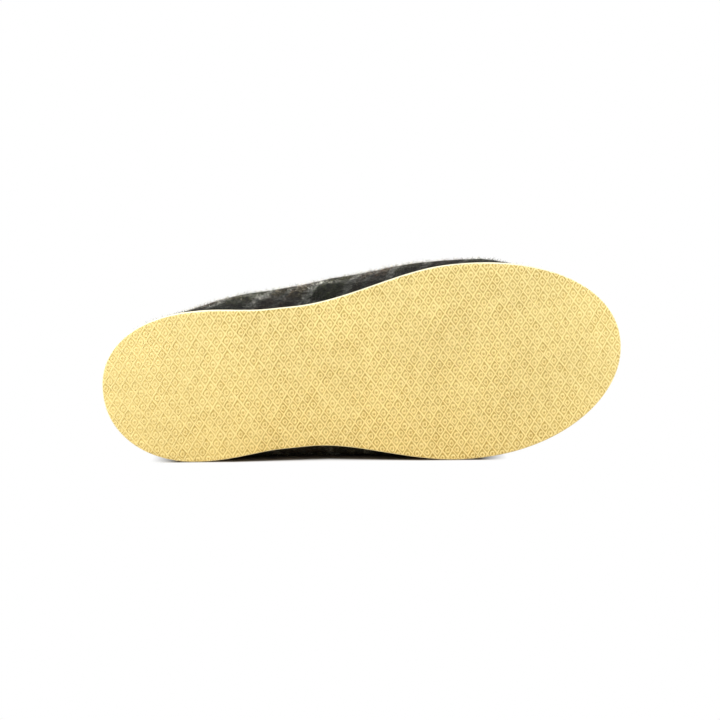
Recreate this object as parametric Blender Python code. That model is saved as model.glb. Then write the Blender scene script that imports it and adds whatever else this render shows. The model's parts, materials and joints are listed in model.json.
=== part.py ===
"""Charentaise slipper for the left foot, lying on its outer side.

The slipper is worked out in its own frame: x runs from heel to toe, y to the outer side and z up from the
tread. It is then laid on its outer side, so that the sole's edge and the soft outer wall both rest on the
floor, with the sole upright and facing -Y. All sizes are metres.
"""

import math
from typing import NamedTuple

import bmesh
import bpy
import numpy as np
from mathutils import Matrix

# Driving dimensions of the sole
SOLE_LENGTH = 0.260
BALL_WIDTH = 0.0975
HEEL_WIDTH = 0.0752
WAIST_WIDTH = 0.0704
SOLE_THICKNESS = 0.0060
SOLE_EDGE_ROUND = 0.0006
ARCH_RISE = 0.0020
TOE_SPRING = 0.0070
HEEL_SPRING = 0.0010
TOE_INFLARE = 0.0024
HEEL_INFLARE = 0.0016

# Driving dimensions of the upper and the insole
UPPER_WALL = 0.0030
UPPER_END_INSET = 0.0022
FEATHER_RATIO = 0.97
HEEL_BULGE_HEIGHT = 0.0220
HEEL_FOOT_TUCK = 0.0018
HEEL_TOP_LEAN = 0.0075
HEM_WIDTH = 0.0085
HEM_STEP = 0.0008
HEM_RAMP = 0.0025
LIP_ROUND = 0.0011
INSOLE_THICKNESS = 0.0040
INSOLE_CLEARANCE = 0.0007
PIECE_GAP = 0.0003
FLOOR_PRESS_SOFTNESS = 0.0006

# Stations as fractions of the sole's length, from the heel
HEEL_STATION = 0.190
HEEL_END = 0.200
WAIST_START = 0.330
WAIST_END = 0.380
BALL_START = 0.690
BALL_STATION = 0.700
HEEL_FLAT_START = 0.080
ARCH_START = 0.290
ARCH_END = 0.570
TOE_SPRING_START = 0.720
TOE_BOX_STATION = 0.840
THROAT_STATION = 0.450
HEEL_LEAN_END = 0.280

# Exponents of the rounded ends: 2 is an ellipse and more is squarer
HEEL_ROUNDNESS = 2.15
TOE_ROUNDNESS = 2.05
TOE_BOX_ROUNDNESS = 2.40
ANKLE_EXPONENT = 1.50

# Mesh density
COLUMNS_PER_SIDE = 40
UPPER_ROWS = 20
PLATE_STRIPS = 8
VAMP_SAMPLES = 400
VAMP_EVEN_SHARE = 0.45
FLOOR_LINE_ROUNDS = 8
SHARP_ANGLE = math.radians(50.0)


class Section(NamedTuple):
    """One cross-section of the upper, with heights above the sole's upper face."""

    station: float  # fraction of the length from the heel
    overhang: float  # how far the wall bulges past the sole's edge
    belly: float  # height of the widest line
    crown: float  # height at which the section closes, or would close over the opening
    fullness: float  # exponent of the rounding from widest line to crown
    ankle: float  # part of the width drawn in at the collar


SECTIONS = (
    Section(0.00, 0.0000, 0.0170, 0.0740, 1.70, 0.00),
    Section(0.12, 0.0000, 0.0180, 0.0840, 1.70, 0.03),
    Section(0.20, 0.0010, 0.0195, 0.0920, 1.70, 0.08),
    Section(0.30, 0.0066, 0.0205, 0.0990, 1.70, 0.16),
    Section(0.38, 0.0088, 0.0205, 0.0955, 1.75, 0.17),
    Section(0.44, 0.0092, 0.0195, 0.0840, 1.85, 0.10),
    Section(0.50, 0.0072, 0.0185, 0.0720, 1.95, 0.03),
    Section(0.56, 0.0046, 0.0175, 0.0625, 2.00, 0.00),
    Section(0.64, 0.0018, 0.0165, 0.0530, 2.10, 0.00),
    Section(0.72, 0.0002, 0.0155, 0.0455, 2.20, 0.00),
    Section(0.80, 0.0000, 0.0145, 0.0395, 2.30, 0.00),
    Section(0.90, 0.0000, 0.0130, 0.0345, 2.30, 0.00),
    Section(1.00, 0.0000, 0.0120, 0.0320, 2.30, 0.00),
)


class CollarPoint(NamedTuple):
    """One point of the collar line in side view."""

    along: float  # fraction of the way from the back of the heel to the throat
    height: float  # above the tread


COLLAR = (
    CollarPoint(0.00, 0.0620),
    CollarPoint(0.22, 0.0575),
    CollarPoint(0.45, 0.0535),
    CollarPoint(0.64, 0.0565),
    CollarPoint(0.80, 0.0650),
    CollarPoint(0.92, 0.0770),
)


class Finish(NamedTuple):
    """Colour and gloss of one material."""

    colour: tuple
    roughness: float


FINISHES = {
    "outsole": Finish((0.855, 0.660, 0.255, 1.0), 0.60),
    "upper": Finish((0.060, 0.058, 0.050, 1.0), 0.95),
    "insole": Finish((0.420, 0.370, 0.300, 1.0), 0.95),
}


def ease(value):
    """Rise smoothly from 0 to 1 as the value does."""
    t = np.clip(value, 0.0, 1.0)
    return t * t * (3.0 - 2.0 * t)


def ramp(value, start, end):
    """Rise straight from 0 at start to 1 at end."""
    return np.clip((value - start) / (end - start), 0.0, 1.0)


def rounded(value, exponent):
    """Fall from 1 to 0 along a quarter of a superellipse."""
    t = np.clip(value, 0.0, 1.0)
    return (1.0 - t**exponent) ** (1.0 / exponent)


def smooth_through(positions, heights):
    """Return a smooth function through the points that doesn't overshoot between them."""
    x = np.array(positions)
    y = np.array(heights)
    step = np.diff(x)
    slope = np.diff(y) / step
    tangent = np.concatenate(([slope[0]], np.zeros(len(slope) - 1), [slope[-1]]))
    for i in range(1, len(slope)):
        if slope[i - 1] * slope[i] > 0.0:
            tangent[i] = 2.0 * slope[i - 1] * slope[i] / (slope[i - 1] + slope[i])

    def height_at(at):
        i = np.clip(np.searchsorted(x, at) - 1, 0, len(step) - 1)
        t = np.clip((at - x[i]) / step[i], 0.0, 1.0)
        start = y[i] + ease(t) * (y[i + 1] - y[i])
        lead = t * (1.0 - t) ** 2 * tangent[i] - t * t * (1.0 - t) * tangent[i + 1]
        return start + step[i] * lead

    return height_at


SECTION_STATIONS = [row.station for row in SECTIONS]
overhang_at = smooth_through(SECTION_STATIONS, [row.overhang for row in SECTIONS])
belly_at = smooth_through(SECTION_STATIONS, [row.belly for row in SECTIONS])
crown_at = smooth_through(SECTION_STATIONS, [row.crown for row in SECTIONS])
fullness_at = smooth_through(SECTION_STATIONS, [row.fullness for row in SECTIONS])
ankle_at = smooth_through(SECTION_STATIONS, [row.ankle for row in SECTIONS])


def sole_half_width(station):
    """Half the sole's width at a station."""
    heel_end = rounded((HEEL_STATION - station) / HEEL_STATION, HEEL_ROUNDNESS)
    toe_end = rounded((station - BALL_STATION) / (1.0 - BALL_STATION), TOE_ROUNDNESS)
    to_waist = ease(ramp(station, HEEL_END, WAIST_START)) * (WAIST_WIDTH - HEEL_WIDTH)
    to_ball = ease(ramp(station, WAIST_END, BALL_START)) * (BALL_WIDTH - WAIST_WIDTH)
    return 0.5 * (HEEL_WIDTH + to_waist + to_ball) * heel_end * toe_end


def middle_line(station):
    """Sideways place of the sole's middle: toe and heel end lean a little to the inner side."""
    toe = TOE_INFLARE * ramp(station, BALL_STATION, 1.0) ** 2
    heel = HEEL_INFLARE * ramp(station, HEEL_STATION, 0.0) ** 2
    return -(toe + heel)


def tread_height(station):
    """Height of the tread: flat under heel and ball, raised in the arch, at the toe and behind the heel."""
    arch = ARCH_RISE * np.sin(math.pi * ramp(station, ARCH_START, ARCH_END)) ** 2
    toe = TOE_SPRING * ramp(station, TOE_SPRING_START, 1.0) ** 2
    heel = HEEL_SPRING * ramp(station, HEEL_FLAT_START, 0.0) ** 2
    return arch + toe + heel


def feather_height(x):
    """Height at which the upper stands on the sole."""
    return tread_height(x / SOLE_LENGTH) + SOLE_THICKNESS + PIECE_GAP


def even_turn(count):
    """Fractions from 0 to 1 that lie closer together at both ends, as on a circle."""
    return 0.5 - 0.5 * np.cos(np.linspace(0.0, math.pi, count + 1))


def around(outer_side, inner_side):
    """Join the outer side, heel to toe, and the inner side, toe to heel, into closed rings."""
    return np.concatenate((outer_side, inner_side[..., -2:0:-1, :]), axis=-2)


def sole_ring():
    """The sole's outline as a closed ring of plan points."""
    station = even_turn(COLUMNS_PER_SIDE)
    x = station * SOLE_LENGTH
    half = sole_half_width(station)
    middle = middle_line(station)
    outer = np.stack((x, middle + half), axis=-1)
    inner = np.stack((x, middle - half), axis=-1)
    return around(outer, inner)


def ring_normals(ring):
    """Outward plan directions of a closed ring of plan points."""
    along = np.roll(ring, -1, axis=0) - np.roll(ring, 1, axis=0)
    outward = np.stack((-along[:, 1], along[:, 0]), axis=-1)
    return outward / np.linalg.norm(outward, axis=-1, keepdims=True)


def inset(ring, distance):
    """Move a ring inwards."""
    return ring - distance * ring_normals(ring)


def floor_line():
    """Slope and offset of the plan line that touches the sole's outer side at heel and ball."""
    outer = sole_ring()[: COLUMNS_PER_SIDE + 1]
    back = outer[outer[:, 0] < WAIST_START * SOLE_LENGTH]
    front = outer[outer[:, 0] > WAIST_END * SOLE_LENGTH]
    slope = 0.0
    heel = back[0]
    for _ in range(FLOOR_LINE_ROUNDS):
        heel = back[np.argmax(back[:, 1] - slope * back[:, 0])]
        ball = front[np.argmax(front[:, 1] - slope * front[:, 0])]
        slope = (ball[1] - heel[1]) / (ball[0] - heel[0])
    return slope, heel[1] - slope * heel[0]


FLOOR_SLOPE, FLOOR_OFFSET = floor_line()


def heel_back(z):
    """Where the back of the upper is at a height: tucked in at the foot and leaning in at the top."""
    above = np.maximum(z - HEEL_BULGE_HEIGHT, 0.0) / (COLLAR[0].height - HEEL_BULGE_HEIGHT)
    below = np.maximum(HEEL_BULGE_HEIGHT - z, 0.0) / (HEEL_BULGE_HEIGHT - SOLE_THICKNESS)
    return UPPER_END_INSET + HEEL_TOP_LEAN * above**2 + HEEL_FOOT_TUCK * below**2


def upper_station(x, z):
    """Station of a point of the upper, counted from the heel's back at its own height to the toe end."""
    lean_fade = 1.0 - ease(ramp(x, 0.0, HEEL_LEAN_END * SOLE_LENGTH))
    shifted = x - UPPER_END_INSET - (heel_back(z) - UPPER_END_INSET) * lean_fade
    return np.clip(shifted / (SOLE_LENGTH - 2.0 * UPPER_END_INSET), 0.0, 1.0)


def toe_box(station):
    """Part of the crown's height that is left where the toe rounds off."""
    return rounded(ramp(station, TOE_BOX_STATION, 1.0), TOE_BOX_ROUNDNESS)


def crown_height(x):
    """Height of the line along the top of the upper."""
    station = ramp(x, UPPER_END_INSET, SOLE_LENGTH - UPPER_END_INSET)
    return feather_height(x) + crown_at(station) * toe_box(station)


def upper_half_width(x, z):
    """Half the upper's outer width at a point of its side view."""
    station = upper_station(x, z)
    foot = feather_height(x)
    edge = sole_half_width(station)
    belly = belly_at(station) * toe_box(station)
    crown = crown_at(station) * toe_box(station)
    widest = edge + overhang_at(station)
    rise = (z - foot) / np.maximum(belly, PIECE_GAP)
    flare = np.sin(0.5 * math.pi * np.clip(rise, 0.0, 1.0))
    fall = (z - foot - belly) / np.maximum(crown - belly, PIECE_GAP)
    drawn_in = np.clip((z - foot - belly) / (COLLAR[0].height - SOLE_THICKNESS - belly), 0.0, None)
    wall = edge * FEATHER_RATIO + (widest - edge * FEATHER_RATIO) * flare
    ankle = 1.0 - ankle_at(station) * np.minimum(drawn_in, 1.0) ** ANKLE_EXPONENT
    return wall * rounded(fall, fullness_at(station)) * ankle


def press_on_floor(x, y):
    """Flatten the outer wall softly where it lies on the floor."""
    over = (y - FLOOR_OFFSET - FLOOR_SLOPE * x) / FLOOR_PRESS_SOFTNESS
    return y - FLOOR_PRESS_SOFTNESS * np.logaddexp(0.0, over)


def vamp_line(rows):
    """Points of the top line in side view, from the toe end up to the throat."""
    reach = np.linspace(0.0, 1.0, VAMP_SAMPLES) ** 2
    x = SOLE_LENGTH - UPPER_END_INSET - reach * (SOLE_LENGTH * (1.0 - THROAT_STATION) - UPPER_END_INSET)
    z = crown_height(x)
    length = np.concatenate(([0.0], np.cumsum(np.hypot(np.diff(x), np.diff(z)))))
    wanted = length[-1] * (VAMP_EVEN_SHARE * rows + (1.0 - VAMP_EVEN_SHARE) * ease(rows))
    return np.stack((np.interp(wanted, length, x), np.interp(wanted, length, z)), axis=-1)


def heel_line(rows):
    """Points of the heel's back in side view, from the sole up to the collar."""
    foot = feather_height(heel_back(SOLE_THICKNESS))
    z = foot + rows * (COLLAR[0].height - foot)
    return np.stack((heel_back(z), z), axis=-1)


def side_view_grid():
    """Fill the side view between sole, heel, collar and vamp with rows of points."""
    rows = np.linspace(0.0, 1.0, UPPER_ROWS + 1)
    turn = even_turn(COLUMNS_PER_SIDE)
    heel = heel_line(rows)
    vamp = vamp_line(rows)
    foot_x = heel[0, 0] + turn * (vamp[0, 0] - heel[0, 0])
    foot = np.stack((foot_x, feather_height(foot_x)), axis=-1)
    collar_x = heel[-1, 0] + turn * (vamp[-1, 0] - heel[-1, 0])
    collar_at = smooth_through(
        [point.along for point in COLLAR] + [1.0],
        [point.height for point in COLLAR] + [vamp[-1, 1]],
    )
    collar = np.stack((collar_x, collar_at(turn)), axis=-1)
    v = rows[:, None, None]
    u = turn[None, :, None]
    between_edges = (1.0 - v) * foot[None] + v * collar[None]
    between_ends = (1.0 - u) * heel[:, None] + u * vamp[:, None]
    at_foot = (1.0 - u) * foot[0] + u * foot[-1]
    at_collar = (1.0 - u) * collar[0] + u * collar[-1]
    return between_edges + between_ends - (1.0 - v) * at_foot - v * at_collar


def upper_skin():
    """The upper's outer skin as rings of points, from the sole's edge up to the collar."""
    grid = side_view_grid()
    x = grid[..., 0]
    z = grid[..., 1]
    half = upper_half_width(x, z)
    half[:, 0] = 0.0
    half[:, -1] = 0.0
    middle = middle_line(x / SOLE_LENGTH)
    outer = np.stack((x, press_on_floor(x, middle + half), z), axis=-1)
    inner = np.stack((x, middle - half, z), axis=-1)
    inner[:, 0] = outer[:, 0]
    inner[:, -1] = outer[:, -1]
    return around(outer, inner)


def skin_normals(skin):
    """Outward directions of the skin's points."""
    along = np.roll(skin, -1, axis=1) - np.roll(skin, 1, axis=1)
    up = np.gradient(skin, axis=0)
    outward = np.cross(up, along)
    return outward / np.linalg.norm(outward, axis=-1, keepdims=True)


def hem_profile(skin):
    """How far the turned hem stands out at each point of the skin."""
    climb = np.linalg.norm(np.diff(skin, axis=0), axis=-1)
    below_collar = np.concatenate((np.cumsum(climb[::-1], axis=0)[::-1], np.zeros((1, skin.shape[1]))))
    return HEM_STEP * ease((HEM_WIDTH + HEM_RAMP - below_collar) / HEM_RAMP)


def upper_rings():
    """Closed rings of the whole upper: up its outer skin, over the lip and down its lining side."""
    skin = upper_skin()
    outward = skin_normals(skin)
    inside = skin - UPPER_WALL * outward
    foot = inset(skin[0, :, :2], UPPER_WALL)
    inside[0] = np.column_stack((foot, feather_height(foot[:, 0])))
    outside = skin + hem_profile(skin)[..., None] * outward
    outside[..., 1] = np.minimum(outside[..., 1], FLOOR_OFFSET + FLOOR_SLOPE * outside[..., 0])
    climb = skin[-1] - skin[-2]
    climb /= np.linalg.norm(climb, axis=-1, keepdims=True)
    lip = 0.5 * (outside[-1] + inside[-1]) + LIP_ROUND * climb
    return np.concatenate((outside, lip[None], inside[::-1])), foot


def add_rings(mesh, rings):
    """Add rings of points and join each ring to the next. Returns the rings' vertices."""
    corners = [[mesh.verts.new(point) for point in ring] for ring in rings]
    for lower, upper in zip(corners, corners[1:]):
        join_rings(mesh, lower, upper)
    return corners


def join_rings(mesh, lower, upper):
    """Join two rings of vertices with a band of faces."""
    count = len(lower)
    for i in range(count):
        j = (i + 1) % count
        mesh.faces.new((lower[i], lower[j], upper[j], upper[i]))


def fill_plate(mesh, ring, height_at):
    """Close a ring of vertices with strips across it that follow a height along the length."""
    toe = len(ring) // 2
    rows = [[ring[0]]]
    for i in range(1, toe):
        outer = ring[i]
        inner = ring[-i]
        row = [outer]
        for k in range(1, PLATE_STRIPS):
            x, y, _ = outer.co.lerp(inner.co, k / PLATE_STRIPS)
            row.append(mesh.verts.new((x, y, height_at(x))))
        row.append(inner)
        rows.append(row)
    rows.append([ring[toe]])
    for row, following in zip(rows, rows[1:]):
        for k in range(PLATE_STRIPS):
            loop = [row[min(k, len(row) - 1)], row[min(k + 1, len(row) - 1)]]
            loop += [following[min(k + 1, len(following) - 1)], following[min(k, len(following) - 1)]]
            mesh.faces.new(list(dict.fromkeys(loop)))


def at_height(ring, height_at):
    """Lift a ring of plan points to a height along the length."""
    return [(x, y, float(height_at(x))) for x, y in ring]


def finish_object(name, mesh, holder):
    """Turn the built mesh into a named object with its own material, held by the empty."""
    bmesh.ops.recalc_face_normals(mesh, faces=mesh.faces)
    data = bpy.data.meshes.new(name)
    mesh.to_mesh(data)
    mesh.free()
    data.shade_smooth()
    data.set_sharp_from_angle(angle=SHARP_ANGLE)
    data.materials.append(make_material(name))
    piece = bpy.data.objects.new(name, data)
    piece.parent = holder
    bpy.context.scene.collection.objects.link(piece)
    return piece


def make_material(name):
    """A plain surface in the piece's colour."""
    finish = FINISHES[name]
    material = bpy.data.materials.new(name)
    material.use_nodes = True
    surface = material.node_tree.nodes["Principled BSDF"]
    surface.inputs["Base Color"].default_value = finish.colour
    surface.inputs["Roughness"].default_value = finish.roughness
    surface.inputs["Metallic"].default_value = 0.0
    return material


def make_outsole(holder):
    """The die-cut sole: tread below, upright edge, flat upper face."""
    mesh = bmesh.new()

    def tread(x):
        return tread_height(x / SOLE_LENGTH)

    def edge_foot(x):
        return tread(x) + SOLE_EDGE_ROUND

    def upper_face(x):
        return tread(x) + SOLE_THICKNESS

    ring = sole_ring()
    levels = [
        at_height(inset(ring, SOLE_EDGE_ROUND), tread),
        at_height(ring, edge_foot),
        at_height(ring, upper_face),
    ]
    rings = add_rings(mesh, levels)
    fill_plate(mesh, rings[0], tread)
    fill_plate(mesh, rings[-1], upper_face)
    return finish_object("outsole", mesh, holder)


def make_upper(holder):
    """The hollow upper. Returns the object and the ring inside its wall at the sole."""
    mesh = bmesh.new()
    rings, foot = upper_rings()
    corners = add_rings(mesh, rings)
    join_rings(mesh, corners[-1], corners[0])
    return finish_object("upper", mesh, holder), foot


def make_insole(holder, foot):
    """The sock on the sole, a little clear of the upper's wall."""
    mesh = bmesh.new()

    def lower_face(x):
        return feather_height(x)

    def upper_face(x):
        return feather_height(x) + INSOLE_THICKNESS

    ring = inset(foot, INSOLE_CLEARANCE)
    rings = add_rings(mesh, [at_height(ring, lower_face), at_height(ring, upper_face)])
    fill_plate(mesh, rings[0], lower_face)
    fill_plate(mesh, rings[-1], upper_face)
    return finish_object("insole", mesh, holder)


def lay_on_side(holder, pieces):
    """Turn the slipper on to its outer side, with the floor line level and the box centred over the origin."""
    angle = math.atan(FLOOR_SLOPE)
    along = (math.cos(angle), math.sin(angle), 0.0)
    up = (math.sin(angle), -math.cos(angle), 0.0)
    turn = Matrix((along, (0.0, 0.0, 1.0), up))
    corners = np.array([turn @ vertex.co for piece in pieces for vertex in piece.data.vertices])
    middle = 0.5 * (corners.min(axis=0) + corners.max(axis=0))
    drop = corners[:, 2].min()
    holder.matrix_world = Matrix.Translation((-middle[0], -middle[1], -drop)) @ turn.to_4x4()


def main():
    """Build the slipper."""
    for old in list(bpy.data.objects):
        bpy.data.objects.remove(old, do_unlink=True)
    holder = bpy.data.objects.new("slipper", None)
    bpy.context.scene.collection.objects.link(holder)
    outsole = make_outsole(holder)
    upper, foot = make_upper(holder)
    insole = make_insole(holder, foot)
    lay_on_side(holder, [outsole, upper, insole])
    bpy.context.view_layer.update()


main()
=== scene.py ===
"""Looks of the charentaise slipper: moulded tread, tartan wool with its nap, felt lining and stitches.

The slipper's own frame has x from heel to toe, y to the outer side and z up from the tread. It lies on its
outer side with the sole towards the camera. All sizes are metres.
"""

import json
import logging
import math
from dataclasses import dataclass
from enum import Enum
from typing import Any, Callable, NamedTuple, Sequence

import bmesh
import bpy
import numpy as np
from bpy.types import Collection, Material, Mesh, Node, NodeOutputs, NodeSocket, NodeTree, Object
from mathutils import Matrix, Vector
from mathutils.kdtree import KDTree

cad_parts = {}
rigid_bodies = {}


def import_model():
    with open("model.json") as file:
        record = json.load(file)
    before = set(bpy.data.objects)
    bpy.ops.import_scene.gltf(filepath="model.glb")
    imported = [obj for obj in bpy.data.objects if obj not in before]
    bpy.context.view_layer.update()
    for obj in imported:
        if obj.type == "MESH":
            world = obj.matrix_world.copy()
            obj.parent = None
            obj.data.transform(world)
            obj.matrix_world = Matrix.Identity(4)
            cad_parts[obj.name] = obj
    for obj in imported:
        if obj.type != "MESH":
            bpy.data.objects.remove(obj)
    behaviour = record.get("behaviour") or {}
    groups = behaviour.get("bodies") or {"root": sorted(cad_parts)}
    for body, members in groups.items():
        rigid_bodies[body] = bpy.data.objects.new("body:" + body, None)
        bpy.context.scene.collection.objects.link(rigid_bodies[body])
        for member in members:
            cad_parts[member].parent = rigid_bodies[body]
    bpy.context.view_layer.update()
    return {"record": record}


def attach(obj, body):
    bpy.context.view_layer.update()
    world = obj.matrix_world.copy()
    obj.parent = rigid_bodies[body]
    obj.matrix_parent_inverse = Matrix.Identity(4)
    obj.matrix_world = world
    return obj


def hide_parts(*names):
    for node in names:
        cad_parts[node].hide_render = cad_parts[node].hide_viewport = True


LOG = logging.getLogger("slipper")
BODY = "root"
Colour = tuple[float, float, float]
Array = np.ndarray
Curve = Callable[[Array], Array]
Loop = tuple[Array, Array]  # numbers of a closed loop's corners, and their places round the outline
RANDOM_TYPES = ("FLOAT_VECTOR", "FLOAT", "INT")  # in the order of a Random Value node's outputs
CENTRE = (0.5, 0.5, 0.5)  # mean colour of a Noise Texture
MILLIMETRES = 1000.0  # in a metre


class Side(Enum):
    """Which side of the slipper a crease is on."""

    INNER = "inner"
    OUTER = "outer"
    BOTH = "both"


class Yarn(Enum):
    """Dyed wool yarns of the tartan, as linear colours."""

    GREEN = (0.026, 0.031, 0.013)
    BROWN = (0.043, 0.031, 0.020)
    GREY = (0.302, 0.298, 0.262)
    SLATE = (0.160, 0.165, 0.150)
    RUST = (0.072, 0.041, 0.027)
    HEATHER = (0.214, 0.192, 0.150)


class Stripe(NamedTuple):
    """One stripe of the tartan's repeat."""

    yarn: Yarn
    width: float


class Section(NamedTuple):
    """One cross-section of the upper, with heights above the sole's upper face."""

    station: float  # fraction of the length from the heel
    overhang: float  # how far the wall bulges past the sole's edge
    belly: float  # height of the widest line
    crown: float  # height at which the section closes, or would close over the opening
    fullness: float  # exponent of the rounding from widest line to crown
    ankle: float  # part of the width drawn in at the collar


class CollarPoint(NamedTuple):
    """One point of the collar line in side view."""

    along: float  # fraction of the way from the back of the heel to the throat
    height: float  # above the tread


class Crease(NamedTuple):
    """One soft trough in the cloth, with a low ridge on either side of it."""

    side: Side
    path: tuple  # places as (share of the way from heel seam to vamp middle, share of the way up)
    width: float
    depth: float


class Drag(NamedTuple):
    """How far lasting leaned the cloth's grain towards the toe at one place above the sole."""

    turn: float  # share of the way from heel seam to vamp middle
    lean: float  # sideways way for each way up


class Relief(NamedTuple):
    """One ring of a tread diamond."""

    reach: float  # share of the way from the middle to the ribs
    depth: float  # below the top of the ribs, towards the diamond's corners
    side_depth: float  # the same, towards the middle of its sides
    roundness: float  # 0 is a diamond and 1 nearly an ellipse


class Wave(NamedTuple):
    """One wave of slack in the cloth."""

    axis: int  # number of the axis that it runs along
    length: float  # way along that axis for each radian
    lean: float  # radians for each metre up
    start: float  # radians at the origin


class Bend(NamedTuple):
    """One place along a wool fibre."""

    along: float  # 0 at the foot and 1 at the tip
    width: float  # share of the fibre's width
    lean: float  # way sideways, as a share of its length
    rise: float  # way up, as a share of its length


class Grain(NamedTuple):
    """Settings of one Noise Texture."""

    scale: float
    detail: float
    roughness: float = 0.5


SECTIONS = (
    Section(0.00, 0.0000, 0.0170, 0.0740, 1.70, 0.00),
    Section(0.12, 0.0000, 0.0180, 0.0840, 1.70, 0.03),
    Section(0.20, 0.0010, 0.0195, 0.0920, 1.70, 0.08),
    Section(0.30, 0.0066, 0.0205, 0.0990, 1.70, 0.16),
    Section(0.38, 0.0088, 0.0205, 0.0955, 1.75, 0.17),
    Section(0.44, 0.0092, 0.0195, 0.0840, 1.85, 0.10),
    Section(0.50, 0.0072, 0.0185, 0.0720, 1.95, 0.03),
    Section(0.56, 0.0046, 0.0175, 0.0625, 2.00, 0.00),
    Section(0.64, 0.0025, 0.0165, 0.0530, 2.10, 0.00),
    Section(0.72, 0.0013, 0.0155, 0.0455, 2.20, 0.00),
    Section(0.80, 0.0003, 0.0145, 0.0395, 2.30, 0.00),
    Section(0.90, 0.0000, 0.0130, 0.0345, 2.30, 0.00),
    Section(1.00, 0.0000, 0.0120, 0.0320, 2.30, 0.00),
)

COLLAR = (
    CollarPoint(0.00, 0.0620),
    CollarPoint(0.22, 0.0575),
    CollarPoint(0.45, 0.0535),
    CollarPoint(0.64, 0.0565),
    CollarPoint(0.80, 0.0650),
    CollarPoint(0.92, 0.0770),
)

CREASES = (
    Crease(Side.INNER, ((0.82, 0.24), (0.91, 0.38), (1.00, 0.45)), 0.0052, 0.0010),
    Crease(Side.OUTER, ((0.84, 0.28), (0.92, 0.40), (1.00, 0.45)), 0.0050, 0.0009),
    Crease(Side.INNER, ((0.83, 0.40), (0.92, 0.55), (1.00, 0.61)), 0.0060, 0.0009),
    Crease(Side.OUTER, ((0.86, 0.46), (0.93, 0.57), (1.00, 0.61)), 0.0058, 0.0010),
    Crease(Side.BOTH, ((0.76, 0.78), (0.86, 0.76), (0.94, 0.80)), 0.0070, 0.0009),
    Crease(Side.INNER, ((0.26, 0.94), (0.34, 0.70), (0.42, 0.52)), 0.0085, 0.0012),
    Crease(Side.OUTER, ((0.30, 0.95), (0.36, 0.72), (0.47, 0.58)), 0.0080, 0.0010),
    Crease(Side.INNER, ((0.50, 0.90), (0.58, 0.66), (0.69, 0.50)), 0.0075, 0.0011),
    Crease(Side.OUTER, ((0.54, 0.88), (0.63, 0.62)), 0.0080, 0.0010),
    Crease(Side.INNER, ((0.42, 0.30), (0.52, 0.22), (0.64, 0.25)), 0.0042, 0.0006),
    Crease(Side.BOTH, ((0.07, 0.66), (0.15, 0.58), (0.23, 0.62)), 0.0060, 0.0008),
    Crease(Side.INNER, ((0.10, 0.94), (0.14, 0.76)), 0.0060, 0.0008),
)

TARTAN = (
    Stripe(Yarn.GREEN, 0.0122),
    Stripe(Yarn.GREY, 0.0037),
    Stripe(Yarn.BROWN, 0.0058),
    Stripe(Yarn.SLATE, 0.0019),
    Stripe(Yarn.RUST, 0.0015),
    Stripe(Yarn.BROWN, 0.0054),
    Stripe(Yarn.GREY, 0.0037),
)

DRAGS = (
    Drag(0.00, 0.00),
    Drag(0.14, -0.12),
    Drag(0.30, -0.36),
    Drag(0.40, -0.20),
    Drag(0.50, 0.02),
    Drag(0.62, 0.12),
    Drag(0.74, 0.10),
    Drag(0.88, 0.00),
    Drag(1.00, 0.00),
)

TREAD = (
    Relief(0.09, 0.00044, 0.00044, 1.0),
    Relief(0.22, 0.00022, 0.00022, 1.0),
    Relief(0.36, 0.00000, 0.00000, 1.0),
    Relief(0.49, 0.00004, 0.00004, 1.0),
    Relief(0.61, 0.00041, 0.00034, 0.9),
    Relief(0.76, 0.00043, 0.00032, 0.4),
    Relief(0.90, 0.00005, 0.00001, 0.0),
    Relief(1.00, 0.00004, 0.00000, 0.0),
)

SLACK = (
    Wave(0, 0.0071, 60.0, 0.0),
    Wave(0, 0.0113, -95.0, 1.3),
    Wave(1, 0.0067, 1.0 / 0.0094, 0.0),
)

FIBRE = (
    Bend(0.0, 1.0, 0.00, -0.10),
    Bend(0.5, 0.7, 0.22, 0.42),
    Bend(1.0, 0.0, 0.72, 0.66),
)


def ease(value: Array) -> Array:
    """Rise smoothly from 0 to 1 as the value does."""
    t = np.clip(value, 0.0, 1.0)
    return t * t * (3.0 - 2.0 * t)


def ramp(value: Array, start: float, end: float) -> Array:
    """Rise straight from 0 at start to 1 at end."""
    return np.clip((value - start) / (end - start), 0.0, 1.0)


def rounded(value: Array, exponent: Array) -> Array:
    """Fall from 1 to 0 along a quarter of a superellipse."""
    t = np.clip(value, 0.0, 1.0)
    return (1.0 - t**exponent) ** (1.0 / exponent)


def unit(vectors: Array) -> Array:
    """Vectors of length 1 in the same directions."""
    return vectors / np.linalg.norm(vectors, axis=-1, keepdims=True)


def even_turn(count: int) -> Array:
    """Fractions from 0 to 1 that lie closer together at both ends, as on a circle."""
    return 0.5 - 0.5 * np.cos(np.linspace(0.0, math.pi, count + 1))


def around(outer_side: Array, inner_side: Array) -> Array:
    """Join the outer side, heel to toe, and the inner side, toe to heel, into closed rings."""
    return np.concatenate((outer_side, inner_side[..., -2:0:-1, :]), axis=-2)


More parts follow.
